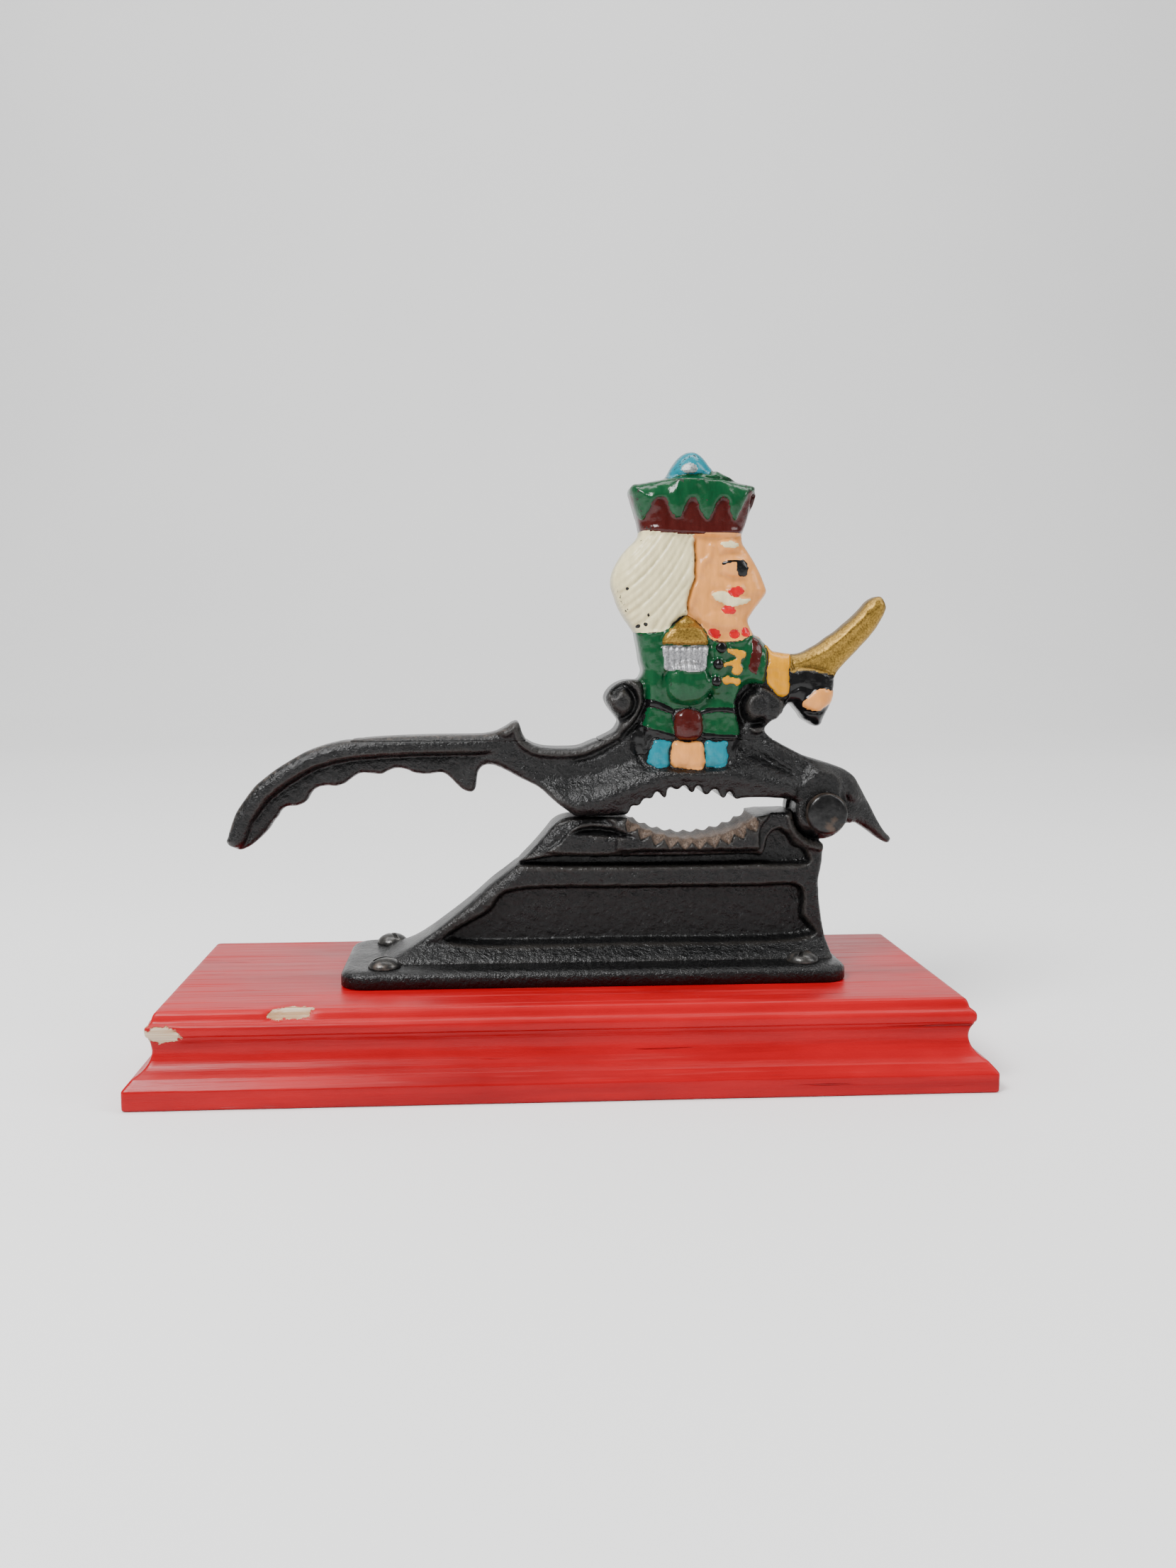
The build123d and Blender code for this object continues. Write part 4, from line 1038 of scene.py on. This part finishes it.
# painted shade: black patches under the skirt's hem, where shade falls on the legs
HEM_SHADE_LEFT = [(17, 72), (17.2, 76.2), (19, 79), (22, 78.2), (27.3, 76.8), (27.3, 75.2), (22.6, 75.7),
    (21.3, 74), (20.8, 71.9), (18.6, 71.6)]
HEM_SHADE_RIGHT = [(34.2, 77.1), (38, 76.9), (43.8, 76.6), (43.6, 75.6), (38, 75.6), (34.2, 75.6)]
BAND = [(14, 124.8), (18.7, 124.9), (21, 125), (25, 124.5), (30, 124.1), (35, 124), (40, 124.3), (46, 124.2),
    (49, 136), (40, 137.5), (20, 137.5), (13, 136)]
CROWN_TOP = [(14, 134.6), (22, 134.2), (38, 134.2), (46, 134.4), (50, 135.5), (48, 141), (14, 141)]
POMPON = [(25.3, 137.9), (28, 138), (30, 138.2), (33, 138.3), (36.2, 139.1), (38, 146), (23, 146)]
GLOVE = [(55.2, 86.4), (55.3, 90), (55.1, 91.9), *GLOVE_TOP, (67, 90.4), (68, 84), (63, 76), (57, 78),
    (54.4, 83)]
BLADE = [(55.1, 91.8), *[(x, round(z - 0.1, 1)) for x, z in GLOVE_TOP], (66.5, 90.2), (72, 92), (81, 100),
    (81, 112), (70, 112), (60, 101), (55.6, 98.5), (55.6, 95)]
lash = board.distance(on_face([(39.0, 117.5), (40.4, 117.9), (42, 118.0), (43.2, 117.6)], 6.5))
lash = lash - 0.52 - 0.3 * ramp(40, 44, X)
# each coat: its area, its paint, and how far it stands off the iron
coats = {
    "tunic": (patch_of(TUNIC, SKIRT_LEFT, SKIRT_RIGHT), "green", 0.12),
    # the black belt coat also lays the painted shade under the skirt's hem
    "belt_and_hem_shade": (patch_of(BELT_LEFT, BELT_RIGHT, HEM_SHADE_LEFT, HEM_SHADE_RIGHT), "black", 0.15),
    "trousers": (patch_of(LEG_LEFT, LEG_RIGHT), "blue", 0.13),
    "knees": (patch_of(KNEE), "flesh", 0.16),
    "hair": (patch_of(HAIR), "cream", 0.12),
    "hair_chips": (spots((21, 105.3, 0.45, 0.65), (18.8, 102.6, 0.75, 0.5, 20), (20.4, 103.1, 0.55, 0.6, 40),
                         (16, 111.5, 0.5, 0.5)), "black", 0.17),
    "face": (patch_of(FACE, depth=6.5), "flesh", 0.14),
    "hat_band": (patch_of(BAND, depth=8), "oxblood", 0.13),
    "crown": (patch_of(LOBES, CROWN_TOP, depth=8), "green", 0.2),
    "pompon": (patch_of(POMPON, depth=6.5), "blue", 0.26),
    "pompon_chip": (spots((30.8, 139.7, 2.1, 1.4), depth=6.5), "bare", 0.29),
    "epaulette": (patch_of(EPAULETTE), "gold", 0.22),
    "fringe": (patch_of(FRINGE, waver=0.06), "silver", 0.19),
    "sash": (patch_of(SASH, waver=0.08), "oxblood", 0.2),
    "buckle": (patch_of(BUCKLE), "oxblood", 0.24),
    "cuff": (patch_of(CUFF, depth=5.5), "yellow", 0.17),
    "glove": (patch_of(GLOVE, depth=5.5), "black", 0.15),
    "hand": (patch_of(HAND, depth=5.5), "flesh", 0.2),
    "sword": (patch_of(BLADE, depth=4.2), "gold", 0.13),
    "frogging": (patch_of(*FROGS, waver=0.05), "yellow", 0.22),
    "buttons": (spots(*[(x, z, r + 0.1, r + 0.1) for x, z, r in BUTTONS]), "black", 0.34),
    "moustache": (patch_of(MOUSTACHE, depth=6.8, waver=0.06), "cream", 0.2),
    "brow": (spots((40.4, 121.9, 2.4, 1.0, -4), depth=6.4), "cream", 0.2),
    "eye": (np.minimum(lash, spots((43.5, 116.3, 1.6, 2.2, 6), depth=6.5)), "black", 0.21),
    "red": (np.minimum(spots((42, 110.8, 2.1, 1.35, 14), (40.4, 106.5, 1.85, 1.2, -8), depth=6.8),
                       spots((37, 100.9, 1.8, 1.25, -25), (41.9, 100.8, 1.4, 1.25),
                             (44.6, 101.2, 1.2, 1.25, 25), depth=6.6)), "red", 0.22),
}
for name, coat in coats.items():
    enamel("coat_" + name, *coat)


# ======== finishing the hard parts ========
def cut(obj, cutter):
    tool = obj.modifiers.new("cut", "BOOLEAN")
    tool.operation = "DIFFERENCE"
    tool.solver = "EXACT"
    tool.object = cutter
    bpy.context.view_layer.objects.active = obj
    bpy.ops.object.modifier_apply(modifier=tool.name)
    bpy.data.objects.remove(cutter)


slot_ends = [(-SLOT_HALF, EAR + TURN_CLEAR), (SLOT_HALF, EAR + TURN_CLEAR)]
cut(beam, turned("slot_cutter", slot_ends, HINGE, ACROSS, 96))
for obj in (beam, figure):
    dress(obj, iron, "lever")
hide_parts("lever_casting")
dress(standing, iron, "base")
dress(foot, plain_iron, "base")
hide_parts("base_casting")

dress(plinth, wood_paint(), "base")
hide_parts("plinth")

dress(rivet, steel_material("rivet_dark_steel", srgb(14, 14, 15), srgb(40, 40, 40), ring=4.6), "lever")
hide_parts("pivot_rivet")
dress(washer, steel_material("washer_steel", srgb(60, 59, 57), srgb(96, 94, 90)), "lever")
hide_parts("rivet_washer")

SLOT_TOOL = (0.0085, 0.0009, 0.0024)
screw_steel = steel_material("screw_dark_steel", srgb(38, 38, 38), srgb(78, 76, 73))
for k, (screw, turn, (x, y)) in enumerate(screws):
    bpy.ops.mesh.primitive_cube_add(size=1, location=(x * MM, y * MM, (screw_top + 0.4) * MM),
                                    rotation=(0, 0, math.radians(turn)), scale=SLOT_TOOL)
    slot_tool = bpy.context.object
    bpy.ops.object.transform_apply(location=True, rotation=True, scale=True)
    cut(screw, slot_tool)
    dress(screw, screw_steel, "base")
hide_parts("foot_screws")

# ======== floor, light and camera ========
floor_material = Shade("pale_floor", 0.7)
floor_tone = floor_material.range(floor_material.noise(3, 2), 0.3, 0.7)
floor_material.finish(floor_material.mix(floor_tone, (0.87, 0.87, 0.87, 1), (0.9, 0.9, 0.895, 1)))
BEND = 0.7
sweep = [(-4.0, 0.0), (1.0, 0.0)]
sweep += [(1.0 + BEND * math.sin(t), BEND - BEND * math.cos(t)) for t in np.linspace(0.1, 1.5, 14)]
sweep.append((1.72, 4.0))
sheet = [(x * 4000, y * 1000, z * 1000) for y, z in sweep for x in (-1, 1)]
floor = mesh_object("floor", sheet, [(2 * i, 2 * i + 1, 2 * i + 3, 2 * i + 2) for i in range(len(sweep) - 1)])
floor.data.materials.append(floor_material.material)

world = bpy.data.worlds.new("studio")
bpy.context.scene.world = world
world.use_nodes = True
background = world.node_tree.nodes["Background"].inputs
background["Color"].default_value = (1.0, 1.0, 1.0, 1)
background["Strength"].default_value = 0.3


def softbox(place, target, size, power):
    data = bpy.data.lights.new("softbox", "AREA")
    data.shape = "RECTANGLE"
    data.size, data.size_y = size
    data.energy = power
    lamp = bpy.data.objects.new("softbox", data)
    bpy.context.collection.objects.link(lamp)
    lamp.location = place
    aim = lamp.location - type(lamp.location)(target)
    lamp.rotation_euler = aim.to_track_quat("Z", "Y").to_euler()


softbox((-0.4, -0.45, 0.7), (0, 0, 0.07), (0.3, 0.3), 11)
softbox((0.7, -0.25, 0.5), (0, 0, 0.07), (0.3, 0.5), 3)
softbox((0, 0.35, 1.7), (0, 1.2, 0.3), (2.4, 0.8), 38)

lens = bpy.data.cameras.new("camera")
lens.lens = LENS
lens.sensor_width = 36
camera = bpy.data.objects.new("camera", lens)
bpy.context.collection.objects.link(camera)
camera.location = [v * MM for v in EYE]
camera.rotation_euler = (math.radians(90 - LOOK_DOWN), 0, -math.radians(LOOK_RIGHT))
bpy.context.scene.camera = camera
